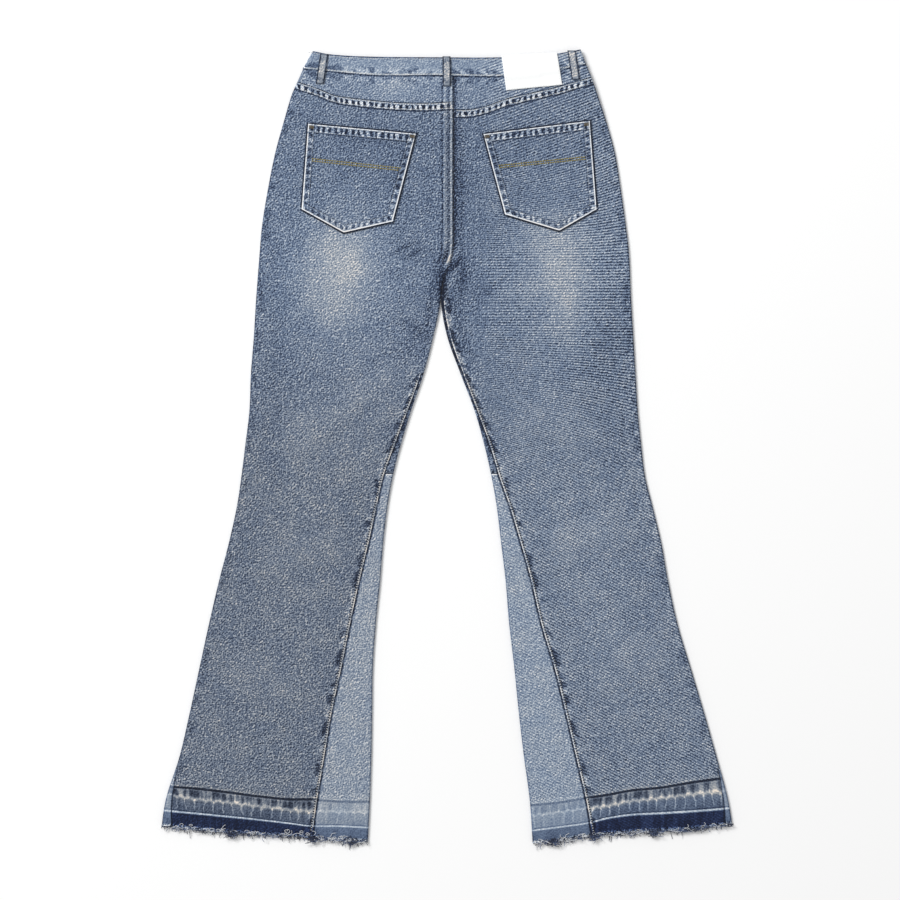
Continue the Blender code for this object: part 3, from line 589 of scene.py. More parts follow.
def denim(name, wash, grain, seams, hem=None):
    """Washed indigo cotton twill. It is matt and slightly fuzzy, and its yarns show as pale and dark flecks.

    seams gives Line, Rungs, Far, Rope and Broken for each of the three seam distances. A negative Line paints
    shade along that edge, and the pale lines and rungs bring painted shadow with them.
    """
    material = surface(name, {"Roughness": 0.92, "Specular IOR Level": 0.15, "Sheen Weight": 0.12,
                              "Sheen Roughness": 0.6})
    tree = material.node_tree
    place = add(tree, PLACE).outputs["Object"]
    read = {fact: add(tree, ("Attribute", {"attribute_name": fact})).outputs
            for fact in ("dye", "edge_mm", "run_mm", "hem_mm", "ripple_cycles")}
    # The first value is the wash change from fading and from painted shade
    fade, tan, rippled = add(tree, SPLIT, read["dye"]["Vector"]).outputs
    above = read["hem_mm"]["Fac"]
    # Flecks of 3 to 4 mm, coarser than the real yarns, as the photo shows the twill: one noise less itself
    # a little way off, which leaves only the fine grain
    worms = add(tree, NOISE, {"Vector": place, "Scale": 610.0, "Detail": 0.0})
    shifted = (MAPPING, {"Vector": place, "Location": (0.0009, -0.0011, 0.0)})
    again = (NOISE, {"Vector": shifted, "Scale": 610.0, "Detail": 0.0})
    specks = add(tree, ("TexVoronoi", {"voronoi_dimensions": "2D"}), {"Vector": place, "Scale": 350.0})
    leaning = (MAPPING, {"Vector": place, "Scale": (1.0, -1.0, 1.0)})
    twill = add(tree, ("TexWave", {"bands_direction": "DIAGONAL"}), {
        "Vector": leaning, "Scale": 132.0, "Distortion": 6.0, "Detail": 1.0, "Detail Scale": 3.2})
    mottle = add(tree, NOISE, {"Vector": place, "Scale": 34.0, "Detail": 4.0, "Roughness": 0.62})
    phase = (PLUS, (TIMES, read["ripple_cycles"]["Fac"], 2 * math.pi), (TIMES, worms, 5.0))
    rippling = [(SINE, phase), rippled]
    grainy = [add(tree, PLUS, 1.0, (TIMES, rippled, -1.5), (TIMES, fade, -1.0)), grain]
    if hem:
        grainy.append(add(tree, STEP, above, 46.0, 58.0, 0.4, 1.0))
        rippling.append((STEP, above, 46.0, 58.0, 0.25, 1.0))
    terms = [
        wash,
        (TIMES, (STEP, (MINUS, worms, again), -0.3, 0.3, -1.0, 1.0), *grainy),
        (TIMES, (STEP, specks, 0.1, 0.75, -0.75, 0.75), *grainy),
        (TIMES, (STEP, twill, 0.0, 1.0, -0.45, 0.45), *grainy),
        (TIMES, (STEP, mottle, 0.3, 0.7, -1.0, 1.0), 0.2, grain),
        (TIMES, *rippling),
        fade,
    ]
    edges, runs = [add(tree, SPLIT, read[fact]["Vector"]).outputs for fact in ("edge_mm", "run_mm")]
    # Each seam's wear, with its painted shade
    terms += [(SEAM_WEAR_AND_SHADE, distance, run, *seam) for distance, run, seam in zip(edges, runs, seams)]
    greyed = add(tree, PLUS, tan, (TIMES, mottle, 0.8), -0.4)
    if hem:
        tab_strength, streak_strength, tan_strength = HEM_STRENGTH[hem]
        across = add(tree, SPLIT, place).outputs["X"]
        swing = (PLUS, (TIMES, across, math.pi / (ARCH * MM)), (TIMES, mottle, 4.5))
        arches = add(tree, SIZE, (SINE, swing))
        wavy = (TIMES, arches, (STEP, above, 24.0, 32.0), (STEP, above, 38.0, 44.0, -2.4, 0.0))
        changes = [(at / HEM_TOP, (0.5 + change,) * 3 + (1.0,)) for at, change in HEM_WASH[hem]]
        lines = (("ValToRGB", {"stops": changes}), (TIMES, (PLUS, above, wavy), 1 / HEM_TOP))
        long_way = (MAPPING, {"Vector": place, "Scale": (1.0, 0.2, 1.0)})
        streaks = (NOISE, {"Vector": long_way, "Scale": 190.0, "Detail": 2.0})
        in_hem = (TIMES, (STEP, above, 46.0, 49.0, 1.0, 0.0), (STEP, above, 33.5, 38.0, 0.22, 1.0))
        terms += [
            lines,
            -0.5,
            (TIMES, (STEP, arches, 0.06, 0.34, -0.24, 0.06), (STEP, above, 18.5, 21.0),
             (STEP, above, 31.0, 35.0, 1.0, 0.0), tab_strength),
            (TIMES, (STEP, worms, 0.38, 0.6, -0.5, 0.5), (STEP, above, 1.5, 4.5, 1.0, 0.0)),
            (TIMES, (STEP, streaks, 0.34, 0.66, -0.3, 0.2), in_hem, streak_strength),
        ]
        faded = (TIMES, (STEP, above, 28.0, 34.0), (STEP, above, 48.0, 60.0, tan_strength, 0.0))
        greyed = (TIMES, (PLUS, greyed, faded), (STEP, above, 15.0, 20.0))
    dyed = ("ValToRGB", {"stops": [(at, linear(code)) for at, code in WASH]})
    tinted = add(tree, TINT, {0: greyed, 6: (dyed, (PLUS, *terms)), 7: linear(TAN)}).outputs[2]
    if hem == "dark":
        unwashed = (TIMES, (STEP, above, 1.0, 3.0), (STEP, above, 13.6, 14.8, 1.0, 0.0))
        tinted = add(tree, TINT, {0: unwashed, 6: tinted, 7: linear(UNWASHED)}).outputs[2]
    bump = add(tree, BUMP, {"Height": (PLUS, twill, worms), "Strength": 0.35, "Distance": 0.0004})
    shader = tree.nodes["Principled BSDF"]
    tree.links.new(tinted, shader.inputs["Base Color"])
    tree.links.new(bump.outputs[0], shader.inputs["Normal"])
    return material


def declare(piece, node):
    """The piece replaces its CAD node and rides with the garment."""
    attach(piece, "root")
    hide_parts(node)


def front_waist(x):
    """Height of the fronts' upper edge, which dips towards its middle."""
    return SEAM_AT_WAIST(x) - FRONT_DIP * np.maximum(0, 1 - (x / HALF_WAIST) ** 2) - 0.7


# The legs' denim: mid blue, with pale worn lines and dark blotches beside its seams, painted shade along its
# side edges and at the very edge of its pale lines, and a painted shadow below the yoke seam's fell
DENIM = denim("washed denim", 0.45, 0.2, (
    (-0.28, 0.0, 6.0, 0.14, 0.5), (0.46, 0.0, 12.0, 0.36, 0.7), (0.34, 0.56, 9.6, 0.06, 0.5)), "dark")

for half in HALVES:
    side = on_face(half, "outer", lambda y: side_share(half, y) + HALF_GAP, under_z)
    inner = on_face(half, "inner", lambda y: under_share(half, y) + HALF_GAP, under_z)
    near_side = on_face(half, "outer", EDGE_REACH, under_z)
    near_inner = on_face(half, "inner", lambda y: edge_reach("inner", y), under_z)
    strip = on_face(half, "inner", lambda y: np.maximum(INSERT[half](y), FACE_START) - HALF_GAP, back_z, 0.3)
    stations = rounded(half, "outer", UNDER_TO_TIP[::-1]) + [near_side]
    stations += spaced(half, near_side, side, 6, under_z) + [side]
    side_cell = len(stations) - 1
    stations += spaced(half, side, inner, 34, under_z) + [inner]
    inner_cell = len(stations) - 1
    stations += spaced(half, inner, near_inner, 6, under_z) + [near_inner]
    stations += rounded(half, "inner", UNDER_TO_TIP)
    over_cell = len(stations) - 1
    stations += rounded(half, "inner", TIP_TO_TOP)
    stations += spaced(half, stations[-1], strip, 6, back_z) + [strip]

    def keep(i, upper, lower):
        if side_cell <= i < inner_cell:
            return True
        return lower >= INSERT_TOP_Y and (i < over_cell or upper <= STRIP_TOP_Y)

    levels = rows_between((WAIST_LEVEL, STRIP_TOP_Y, INSERT_TOP_Y, HEM_LEVEL), 6.0)
    height = between_lines(front_waist, HEM_LINES[half][0], WAIST_LEVEL, HEM_LEVEL, 60)
    points = placed_grid(stations, levels, height)
    x, y, z = np.moveaxis(points, 2, 0)
    from_strip = abs(x - strip(y)[0])
    facts = worn(half, points, seam=np.where(z > ON_TOP, from_strip + 6.0, NO_SEAM), strength=0.5, tan=0.4)
    # Darker strip showing on the back, with painted shade close to where the back's edge lies on it
    facts["dye"][..., 0] -= np.where(z > 1.5, 0.08 + 0.4 * (1 - ease(from_strip / 2.2)), 0.0)
    kept = cells(levels, stations, keep)
    piece = cloth("front_panel_" + half, points, DENIM, facts, kept, flip=half == "left")
    declare(piece, "front_leg_" + half)

# ---------------------------------------------------------------- Inserts
# Long wedges of paler grey-blue twill let into the inseam and the side seam from the knee down, which make
# the legs flare. They lie folded round the edges, and their raw lower ends are let down like the hems.

# An even, paler grey-blue with little wear, with painted shade along its folded edges and where it dips under
# the leg's seam
PALE_DENIM = denim("pale insert denim", 0.635, 0.15, (
    (-0.2, 0.0, 6.0, 0.02, 0.4), (-0.42, 0.0, 6.0, 0.04, 0.4), (0.4, 0.0, 6.0, 0.0, 0.0)), "pale")
INSERTS = {"left": [], "right": []}
for half in HALVES:
    height = between_lines(lambda x: INSERT_TOP_Y - SEAM_GAP, HEM_LINES[half][0], INSERT_TOP_Y - SEAM_GAP,
                           HEM_LEVEL, 40)
    levels = rows_between((INSERT_TOP_Y - SEAM_GAP, WEDGE_TOP_Y, HEM_LEVEL), 3.4)
    for name, edge, hidden, shown, folded, area in (
        ("inner", "inner", under_share, lambda half, y: INSERT[half](y), 8, 0.034),
        ("side", "outer", side_share, wedge_width, 10, 0.033),
    ):
        under = on_face(half, edge, lambda y: hidden(half, y) - HALF_GAP, under_z)
        near = on_face(half, edge, EDGE_REACH, under_z)
        seam = on_face(half, edge, lambda y: shown(half, y) - HALF_GAP, back_z, 0.35)
        stations = [under] + spaced(half, under, near, folded, under_z) + [near]
        stations += rounded(half, edge, UNDER_TO_TIP) + rounded(half, edge, TIP_TO_TOP)
        over_cell = len(stations) - 1 - len(TIP_TO_TOP)
        if name == "inner":
            close = on_face(half, edge, lambda y: shown(half, y) - 1.5, back_z, 0.3)
            stations += spaced(half, stations[-1], close, 18, back_z) + [close, seam]
            kept = None
        else:
            stations += spaced(half, stations[-1], seam, 4, back_z) + [seam]
            kept = cells(levels, stations, lambda i, upper, lower: i < over_cell or upper <= WEDGE_TOP_Y)
        points = placed_grid(stations, levels, height)
        x, y, z = np.moveaxis(points, 2, 0)
        facts = worn(half, points, side=abs(x - edge_x(half, edge, y)),
                     seam=np.where(z > ON_TOP, abs(x - seam(y)[0]), NO_SEAM),
                     top=INSERT_TOP_Y - y if name == "inner" else None, strength=0.5, tan=0.6)
        flip = (half == "left") == (name == "inner")
        piece = cloth(name + "_insert_shell_" + half, points, PALE_DENIM, facts, kept, flip=flip)
        declare(piece, name + "_insert_" + half)
        INSERTS[half].append(piece)

# ---------------------------------------------------------------- Back panels
# The two back panels, of the same washed twill, lie on the fronts. Their felled seams stand up a little,
# and they have worn pale on the seat and along every folded edge; painted shade lies at the very edges, in
# the creases and beside the seat seam.

YOKE_LEVEL = 470.0
YOKE_FELL = 10.0
SEAT_FELL = 14.0
SEAM_RISE = 0.6
YOKE_SEAM = {
    "left": ((-215, 500), (-178, 488), (-155, 479), (-132, 475), (-72, 469), (-30, 468), (8, 470)),
    "right": ((8, 459), (30, 459.5), (52, 464), (80, 474), (114, 482), (149, 490), (200, 505)),
}
YOKE = {half: curve(points) for half, points in YOKE_SEAM.items()}


def band(distance, width, slope=1.5):
    """1 on a felled seam's folded layers, 0 beside them."""
    return np.where(distance >= 0, ease((width + slope - distance) / slope), 0.0)


def panel_z(half, x, y):
    """Height of a back panel or yoke: the back's face with felled seams and the lips of its edges."""
    inner = edge_x(half, "inner", y)
    bands = band(YOKE[half](x) - y, YOKE_FELL)
    if half == "left":
        bands = np.maximum(bands, band(inner - x, SEAT_FELL) * ease((y - CROTCH_Y) / SEAT_FELL))
    from_insert = abs(x - inner) - INSERT[half](y)
    below = ease((STRIP_TOP_Y - y) / 20)
    lip = (0.45 * ease((9 - from_insert) / 5) - 0.5 * ease((0.9 - from_insert) / 0.8)) * below
    pucker = 0.16 * np.sin(y * 0.27 + np.sin(y * 0.061) * 2) * ease((14 - from_insert) / 8) * below
    return back_z(half, x, y) + SEAM_RISE * bands + lip + pucker


def strip_wash_and_shade(half, from_inner, y):
    """Wash level along the seat seam: its felled strip lies on the left half, pale inside, with painted
    shadow lines beside both its edges and on the right half next to it.
    """
    # The right half: painted shadow beside the strip's folded edge
    if half == "right":
        return -0.42 * (1 - ease((from_inner - 0.5) / 5)) * ease((y - FORK_Y) / 20)
    mottled = 0.6 + 0.4 * np.sin(0.46 * y + 2.4 * np.sin(0.1 * y))
    # Left half: a pale worn line, painted shade at the seam's very edge and a darker middle
    near = 0.36 * np.exp(-(((from_inner - 3.7) / 0.7) ** 2)) - 0.5 * np.exp(-((from_inner / 0.8) ** 2))
    near = near - 0.2 * np.exp(-(((from_inner - 6.8) / 1.4) ** 2))
    pale_line = 0.34 * np.exp(-(((from_inner - 13.0) / 1.4) ** 2))
    # Painted shadow just past the strip's fell edge, beside its pale worn line
    shadow_line = 0.62 * np.exp(-(((from_inner - 15.1) / 0.9) ** 2))
    far = pale_line - shadow_line
    return (near + far * mottled) * ease((y - CROTCH_Y) / 14)


def ragged(x):
    """How far a raw edge strays from its line."""
    return 0.5 * np.sin(0.83 * x) + 0.4 * np.sin(2.13 * x + 1)


def panel_stations(half, inseam, side_seam, count):
    """Stations across the back, crowded where the felled seat seam ends and at both edges."""

    def beyond(distance):
        return on_face(half, "inner", lambda y: inseam(y) + distance, panel_z)

    outer_edge, inner_edge = rounded(half, "outer", TIP_TO_TOP), rounded(half, "inner", (90, 62, 40, 20, 4))
    first, last = on_face(half, "outer", side_seam, panel_z), on_face(half, "inner", inseam, panel_z)
    at_fell = [beyond(SEAT_FELL - FACE_START + d) for d in (1.6, 0.8, 0.0, -0.6)]
    near_last = [beyond(d) for d in (8.5, 6.0, 3.6, 2.0, 1.0, 0.4)]
    middle = spaced(half, first, at_fell[0], count, panel_z)
    stations = outer_edge + [first] + middle + at_fell + near_last + [last] + inner_edge
    return stations, len(outer_edge), len(stations) - 1 - len(inner_edge)


for half in HALVES:
    stations, side_cells, inner_cells = panel_stations(
        half,
        lambda y: np.where(y < STRIP_TOP_Y, INSERT[half](y), FACE_START) + HALF_GAP,
        lambda y: np.where(y < WEDGE_TOP_Y, wedge_width(half, y), FACE_START) + HALF_GAP,
        76,
    )
    fell_end = YOKE_LEVEL - YOKE_FELL
    levels = rows_between(
        (YOKE_LEVEL, fell_end + 0.5, fell_end - 1.6, STRIP_TOP_Y, WEDGE_TOP_Y, HEM_LEVEL), 3.4)
    height = between_lines(lambda x: YOKE[half](x) - HALF_GAP, lambda x: HEM_LINES[half][0](x) + ragged(x),
                           YOKE_LEVEL, HEM_LEVEL, 60)
    points = placed_grid(stations, levels, height)

    def keep(i, upper, lower):
        return lower >= WEDGE_TOP_Y if i < side_cells else i < inner_cells or lower >= STRIP_TOP_Y

    x, y = points[..., 0], points[..., 1]
    from_inner = abs(x - edge_x(half, "inner", y))
    line_top = STRIP_TOP_Y + 4 if half == "left" else FORK_Y + 6
    inner = np.where(y < line_top, from_inner - INSERT[half](y), NO_SEAM)
    facts = worn(half, points, side=abs(x - OUTER[half](y)), seam=inner, top=YOKE[half](x) - y)
    fade, tan = facts["dye"][..., 0], facts["dye"][..., 1]
    # The felled seat strip, with painted shadow lines beside its edges
    fade += strip_wash_and_shade(half, from_inner, y)
    if half == "left":
        tan += 0.4 * ease((SEAT_FELL - from_inner) / 2) * ease((y - CROTCH_Y) / 14)
    else:
        tan += 0.5 * ease((12 - from_inner) / 3) * ease((230 - y) / 20) * ease((y + 20) / 60)
        fade += 0.03 * ease((40 - y) / 120)
    kept = cells(levels, stations, keep)
    piece = cloth("back_panel_" + half, points, DENIM, facts, kept, flip=half == "right")
    declare(piece, "back_leg_" + half)

# ---------------------------------------------------------------- Yokes
# Shaped panels of the same twill between waistband and back panels, paler from wear, felled to both.

# Paler than the legs, with painted shade along its side edges and close to the waistband
YOKE_DENIM = denim("yoke denim", 0.54, 0.17, (
    (-0.2, 0.0, 6.0, 0.08, 0.5), (0.0, 0.0, 6.0, 0.0, 0.0), (-0.36, 0.0, 9.0, 0.2, 0.5)))


def at_edge(y):
    return FACE_START + HALF_GAP


for half in HALVES:

    def height(x, level):
        return (SEAM_AT_WAIST(x) - HALF_GAP) * (1 - level) + (YOKE[half](x) + HALF_GAP) * level

    levels = np.array((0, 0.02, 0.05, *np.linspace(0.12, 0.88, 12), 0.95, 0.98, 1.0))
    points = placed_grid(panel_stations(half, at_edge, at_edge, 62)[0], levels, height)
    x, y = points[..., 0], points[..., 1]
    facts = worn(half, points, side=abs(x - OUTER[half](y)), top=SEAM_AT_WAIST(x) - y, hem=False)
    # The seat strip and its painted shadow lines carry on up the yokes
    facts["dye"][..., 0] += strip_wash_and_shade(half, abs(x - edge_x(half, "inner", y)), y)
    piece = cloth("yoke_shell_" + half, points, YOKE_DENIM, facts, flip=half == "right")
    declare(piece, "yoke_" + half)

# ---------------------------------------------------------------- Waistband
# One strip folded double all round the waist, its ends meeting at the middle of the front. Worn pale.

WAISTBAND_LIFT = 2.4
WAISTBAND_HEIGHT = 5.8
WAISTBAND_CLOTH = 2.3
WAIST_RIM = ((-186, 539), (-160, 534), (-110, 531), (-11, 530), (71, 530), (147, 535), (182, 541))
RIM_AT_WAIST = curve(WAIST_RIM)
WAISTBAND_TOP = WAISTBAND_LIFT + WAISTBAND_HEIGHT
# Worn pale all over, with painted shade along its upper edge, and a pale line at its seam
WAIST_DENIM = denim("waistband denim", 0.615, 0.12, (
    (0.0, 0.0, 6.0, 0.0, 0.0), (-0.42, 0.0, 6.0, 0.05, 0.4), (0.3, 0.0, 6.0, 0.3, 0.4)))


def waist_edge(half, degrees):
    """A column of points on the waistband's rounded edge, at an angle from its middle."""
    def station(y):
        middle = OUTER[half](y) - OUTWARD[half] * EDGE_REACH
        x = middle + OUTWARD[half] * EDGE_REACH * math.cos(math.radians(degrees))
        z = WAISTBAND_LIFT + WAISTBAND_HEIGHT / 2 * (1 + math.sin(math.radians(degrees)))
        return x, np.full(np.shape(y), z)

    return station


def waist_face(share, z):
    """A column of points on the waistband's flat face, at a share of its way from left to right."""
    def station(y):
        left, right = OUTER["left"](y) + EDGE_REACH, OUTER["right"](y) - EDGE_REACH
        return left + (right - left) * share, np.full(np.shape(y), z)

    return station


def waistband_y(x, level):
    """Height from the waistband's rim down to its seam."""
    return RIM_AT_WAIST(x) * (1 - level) + (SEAM_AT_WAIST(x) + HALF_GAP) * level


# The strip's ends almost meet at half the front's width
FRONT_END = 0.4995
FRONT_COLUMNS = 44
BACK_COLUMNS = 140
front_shares = [FRONT_END - FRONT_END * i / FRONT_COLUMNS for i in range(FRONT_COLUMNS)]
turn = range(-90, 91, 15)
stations = [waist_face(share, WAISTBAND_LIFT) for share in front_shares]
stations += [waist_edge("left", degrees) for degrees in turn]
stations += [waist_face((i + 1) / BACK_COLUMNS, WAISTBAND_TOP) for i in range(BACK_COLUMNS - 1)]
stations += [waist_edge("right", degrees) for degrees in reversed(turn)]
stations += [waist_face(1 - share, WAISTBAND_LIFT) for share in reversed(front_shares)]
levels = np.array((0, 0.012, 0.035, 0.08) + tuple(np.linspace(0.16, 0.84, 8)) + (0.92, 0.965, 0.988, 1.0))
points = placed_grid(stations, levels, waistband_y)
x, y = points[..., 0].copy(), points[..., 1].copy()
depth = RIM_AT_WAIST(x) - SEAM_AT_WAIST(x)
from_edge = np.minimum(levels, 1 - levels)[None, :] * depth
facing = np.where(points[..., 2] > WAISTBAND_LIFT + WAISTBAND_HEIGHT / 2, 1.0, -1.0)
pucker = 0.12 * np.sin(x * 0.5 + np.sin(x * 0.09) * 2) * ease((8 - (y - SEAM_AT_WAIST(x))) / 5)
points[..., 2] += facing * (pucker - 0.7 * (1 - ease(from_edge / 1.6)) - 0.12 * ease((4.5 - from_edge) / 2))
front = points[..., 2] < WAISTBAND_LIFT + 1.2
points[..., 1] -= np.where(front, FRONT_DIP * np.maximum(0, 1 - (x / HALF_WAIST) ** 2), 0.0)
facts = worn("left", points, seam=RIM_AT_WAIST(x) - y, top=y - SEAM_AT_WAIST(x), seam_run=x, hem=False)
waistband = cloth("waistband_shell", points, WAIST_DENIM, facts, thickness=WAISTBAND_CLOTH)
declare(waistband, "waistband")

# ---------------------------------------------------------------- Back pockets
# Five-sided patch pockets of the same twill, hemmed double at the mouth, with their edges turned under and
# sewn down twice. The edges have worn almost white, and a painted shadow outlines them.

POCKET_CLEARANCE = 0.5
POCKET_CLOTH = 1.2
POCKET_HEM_CLOTH = 2.0
POCKET_HEM = 15.5
# The outline grows by this rim, which carries a painted shadow round the pocket; the next value shifts the
# seam distances so that the painted shadow covers the rim
POCKET_SHADOW_RIM = 1.7
POCKET_SHADOW_SHIFT = 0.9
POCKETS = {
    "left": ((-190.5, 440), (-43, 426.5), (-75, 307), (-141.5, 292), (-199, 323.5)),
    "right": ((47.5, 426), (193, 444), (202, 323.5), (151, 294.5), (77.5, 316.5)),
}
# Darker than the legs inside, and almost white where the turned edges have worn, with a painted shadow
# outline round them and painted shadow under the mouth's hem
POCKET_DENIM = denim("pocket denim", 0.43, 0.2, (
    (0.8, 0.22, 9.4, 0.12, 0.2), (0.8, 0.22, 9.4, 0.12, 0.2), (0.66, 0.36, 11.4, 0.05, 0.25)))


def carried_z(x, y):
    """Height of whatever lies highest within a few millimetres of a point on the back."""
    heights = []
    for near in (y - 4, y, y + 4):
        is_left = x < edge_x("left", "inner", near)
        laid = np.where(is_left, panel_z("left", x, near), panel_z("right", x, near))
        heights.append(np.where(near > SEAM_AT_WAIST(x), WAISTBAND_TOP, laid))
    return np.maximum(np.maximum(heights[0], heights[1]), heights[2])


def spread(corners, u, v):
    """Point of a five-sided outline: u runs across and v down to the pointed foot."""
    top_left, top_right, low_right, point, low_left = [np.array(c, float) for c in corners]
    u, v = u[..., None], v[..., None]
    foot = np.where(u < 0.5, low_left + (point - low_left) * 2 * u, point + (low_right - point) * (2 * u - 1))
    return (top_left + (top_right - top_left) * u) * (1 - v) + foot * v


def grown(corners, out):
    """The corners of an outline, moved out from its middle."""
    middle = np.mean(corners, axis=0)
    arms = [np.array(corner, float) - middle for corner in corners]
    return [middle + arm * (1 + 1.2 * out / np.linalg.norm(arm)) for arm in arms]


def from_line(x, y, start, end):
    """Distance from the line through two corners."""
    (x0, y0), (x1, y1) = start, end
    return abs((x - x0) * (y1 - y0) - (y - y0) * (x1 - x0)) / math.hypot(x1 - x0, y1 - y0)


def crowded(count, edge):
    """Shares from 0 to 1 that crowd at both ends."""
    ends = (0, edge * 0.4, edge)
    middle = np.linspace(edge * 2.2, 1 - edge * 2.2, count)
    return np.array((*ends, *middle, *(1 - end for end in ends[::-1])))


def pocket_cloth(from_mouth):
    """How thick a pocket lies, and whether it is its hem."""
    hem = ease((POCKET_HEM + 1 - from_mouth) / 1.5)
    return POCKET_CLOTH + (POCKET_HEM_CLOTH - POCKET_CLOTH) * hem, hem


for half, corners in POCKETS.items():
    # Grown by the rim that carries the painted shadow outline
    corners = grown(corners, POCKET_SHADOW_RIM)
    u, v = np.meshgrid(crowded(64, 0.006), crowded(62, 0.006), indexing="ij")
    x, y = np.moveaxis(spread(corners, u, v), 2, 0)
    top_left, top_right, low_right, point, low_left = corners
    sides = np.minimum(from_line(x, y, top_left, low_left), from_line(x, y, top_right, low_right))
    foot = np.where(u < 0.5, from_line(x, y, low_left, point), from_line(x, y, point, low_right))
    mouth = from_line(x, y, top_left, top_right)
    rim = np.minimum(np.minimum(sides, foot), mouth)
    thick, hem = pocket_cloth(mouth)
    thick = thick + 0.3 * ease((9 - rim) / 2) * (1 - hem)
    z = carried_z(x, y) + POCKET_CLEARANCE + thick - 0.65 * (1 - ease(rim / 1.1))
    z += 0.12 * np.sin(y * 0.33 + np.sin(x * 0.05) * 2) * ease((14 - sides) / 8)
    points = np.stack((x, y, z), axis=2)
    # Distances shifted in so that the painted shadow outline covers the grown rim
    facts = worn(half, points, side=sides - POCKET_SHADOW_SHIFT, seam=foot - POCKET_SHADOW_SHIFT,
                 top=mouth - POCKET_SHADOW_SHIFT, side_run=y * 0.8, seam_run=x, hem=False, strength=0.85)
    piece = cloth("pocket_shell_" + half, points, POCKET_DENIM, facts)
    declare(piece, "back_pocket_" + half)

# ---------------------------------------------------------------- Belt loops
# Narrow strips of the waistband's twill, three on the back and two on the hidden front, bar tacked at both
# ends and standing a little off the waistband between them.

LOOP_WIDTH = 11.0
LOOP_SPRING = 0.9
LOOPS = (
    ("belt_loop_left", -168, 534, -174, 494, "back"),
    ("belt_loop_centre", -2, 531, -1.5, 491, "back"),
    ("belt_loop_right", 167.5, 539, 173.5, 500, "back"),
    ("belt_loop_front_left", -104, 521, -106, 481, "front"),
    ("belt_loop_front_right", 100, 521, 103, 481, "front"),
)
# Pale greyed denim, with painted shade along both folded sides and at both ends
LOOP_TAN = 0.8
LOOP_CLOTH = 1.2
LOOP_DENIM = denim("belt loop denim", 0.73, 0.12, (
    (-0.6, 0.0, 3.0, 0.0, 0.2), (0.0, 0.0, 3.0, 0.0, 0.0), (-0.4, 0.0, 3.0, 0.2, 0.3)))
for name, top_x, top_y, low_x, low_y, side in LOOPS:
    u, v = np.meshgrid(crowded(6, 0.03), crowded(22, 0.012), indexing="ij")
    x = top_x + (low_x - top_x) * v + (u - 0.5) * LOOP_WIDTH
    y = top_y + (low_y - top_y) * v
    spring = LOOP_SPRING * ease(v / 0.2) * ease((1 - v) / 0.2)
    edge = np.minimum(u, 1 - u) * LOOP_WIDTH
    roll = 0.4 * (1 - ease(edge / 1.0)) - 0.15 * ease((3.4 - edge) / 1.2)
    if side == "back":
        z = carried_z(x, y) + SEAM_GAP + spring + LOOP_CLOTH - roll
    else:
        z = np.minimum(WAISTBAND_LIFT, lift(y)) - SEAM_GAP - LOOP_CLOTH - spring + roll
    points = np.stack((x, y, z), axis=2)
    from_end = np.minimum(v, 1 - v) * (top_y - low_y)
    facts = worn("left", points, side=edge, top=from_end, hem=False, strength=0.3)
    facts["dye"][..., 1] = LOOP_TAN
    piece = cloth(name + "_shell", points, LOOP_DENIM, facts, thickness=1.0, flip=side == "front")
    declare(piece, name)

# ---------------------------------------------------------------- Waist patch
# A plain card patch over the waistband, matt and bare, its edges slightly lifted.

PATCH = ((72.5, 532.5), (148, 536), (155, 492.5), (79, 485))
PATCH_SIZE = (76, 45)
PATCH_CARD = 1.2
# Leather-like card: matt white with a very fine grain
card = surface("bare white card", {"Base Color": linear("#fcfdfd"), "Roughness": 0.7})
tree = card.node_tree
grain = (NOISE, {"Vector": add(tree, PLACE).outputs["Object"], "Scale": 900.0, "Detail": 3.0})
bump = add(tree, BUMP, {"Height": grain, "Strength": 0.12, "Distance": 0.0002})
tree.links.new(bump.outputs[0], tree.nodes["Principled BSDF"].inputs["Normal"])
u, v = np.meshgrid(crowded(26, 0.01), crowded(16, 0.012), indexing="ij")
top_left, top_right, low_right, low_left = [np.array(c, float) for c in PATCH]
upper_line = top_left + (top_right - top_left) * u[..., None]
lower_line = low_left + (low_right - low_left) * u[..., None]
x, y = np.moveaxis(upper_line * (1 - v[..., None]) + lower_line * v[..., None], 2, 0)
rim = np.minimum(np.minimum(u, 1 - u) * PATCH_SIZE[0], np.minimum(v, 1 - v) * PATCH_SIZE[1])
z = carried_z(x, y) + SEAM_GAP + PATCH_CARD + 0.12 - 0.25 * (1 - ease(rim / 0.8))
patch = cloth("waist_patch_shell", np.stack((x, y, z), axis=2), card, {}, thickness=PATCH_CARD)
declare(patch, "waist_patch")

# ---------------------------------------------------------------- Waist button
# Aged brass tack button on the hidden front, face down, which holds the waistband closed.

BUTTON_X = 12.0
BUTTON_RADIUS = 8.5
BUTTON_DEPTH = 2.0
# Rolled brass that has dulled: a dark yellow metal with a satin gleam
brass = surface("aged brass", {"Base Color": linear("#8a7048"), "Metallic": 1.0, "Roughness": 0.38})
form = bmesh.new()
bmesh.ops.create_cone(form, cap_ends=True, segments=48, radius1=BUTTON_RADIUS, radius2=BUTTON_RADIUS,
                      depth=BUTTON_DEPTH)
face = min(form.faces, key=lambda f: f.calc_center_median().z)
for inset, depth in ((1.6, 0.0), (0.5, -0.35), (3.4, 0.25)):
    bmesh.ops.inset_individual(form, faces=[face], thickness=inset, depth=depth)
rims = [edge for edge in form.edges if edge.calc_face_angle(0.0) > 1.2]
bmesh.ops.bevel(form, geom=rims, offset=0.45, segments=3, affect="EDGES", profile=0.5, material=-1)
button_y = float(SEAM_AT_WAIST(0.0) + RIM_AT_WAIST(0.0)) / 2 - FRONT_DIP
middle = Vector((BUTTON_X, button_y, BUTTON_DEPTH / 2)) + Vector(SHIFT)
bmesh.ops.translate(form, verts=form.verts, vec=middle)
bmesh.ops.scale(form, verts=form.verts, vec=(MM, MM, MM))
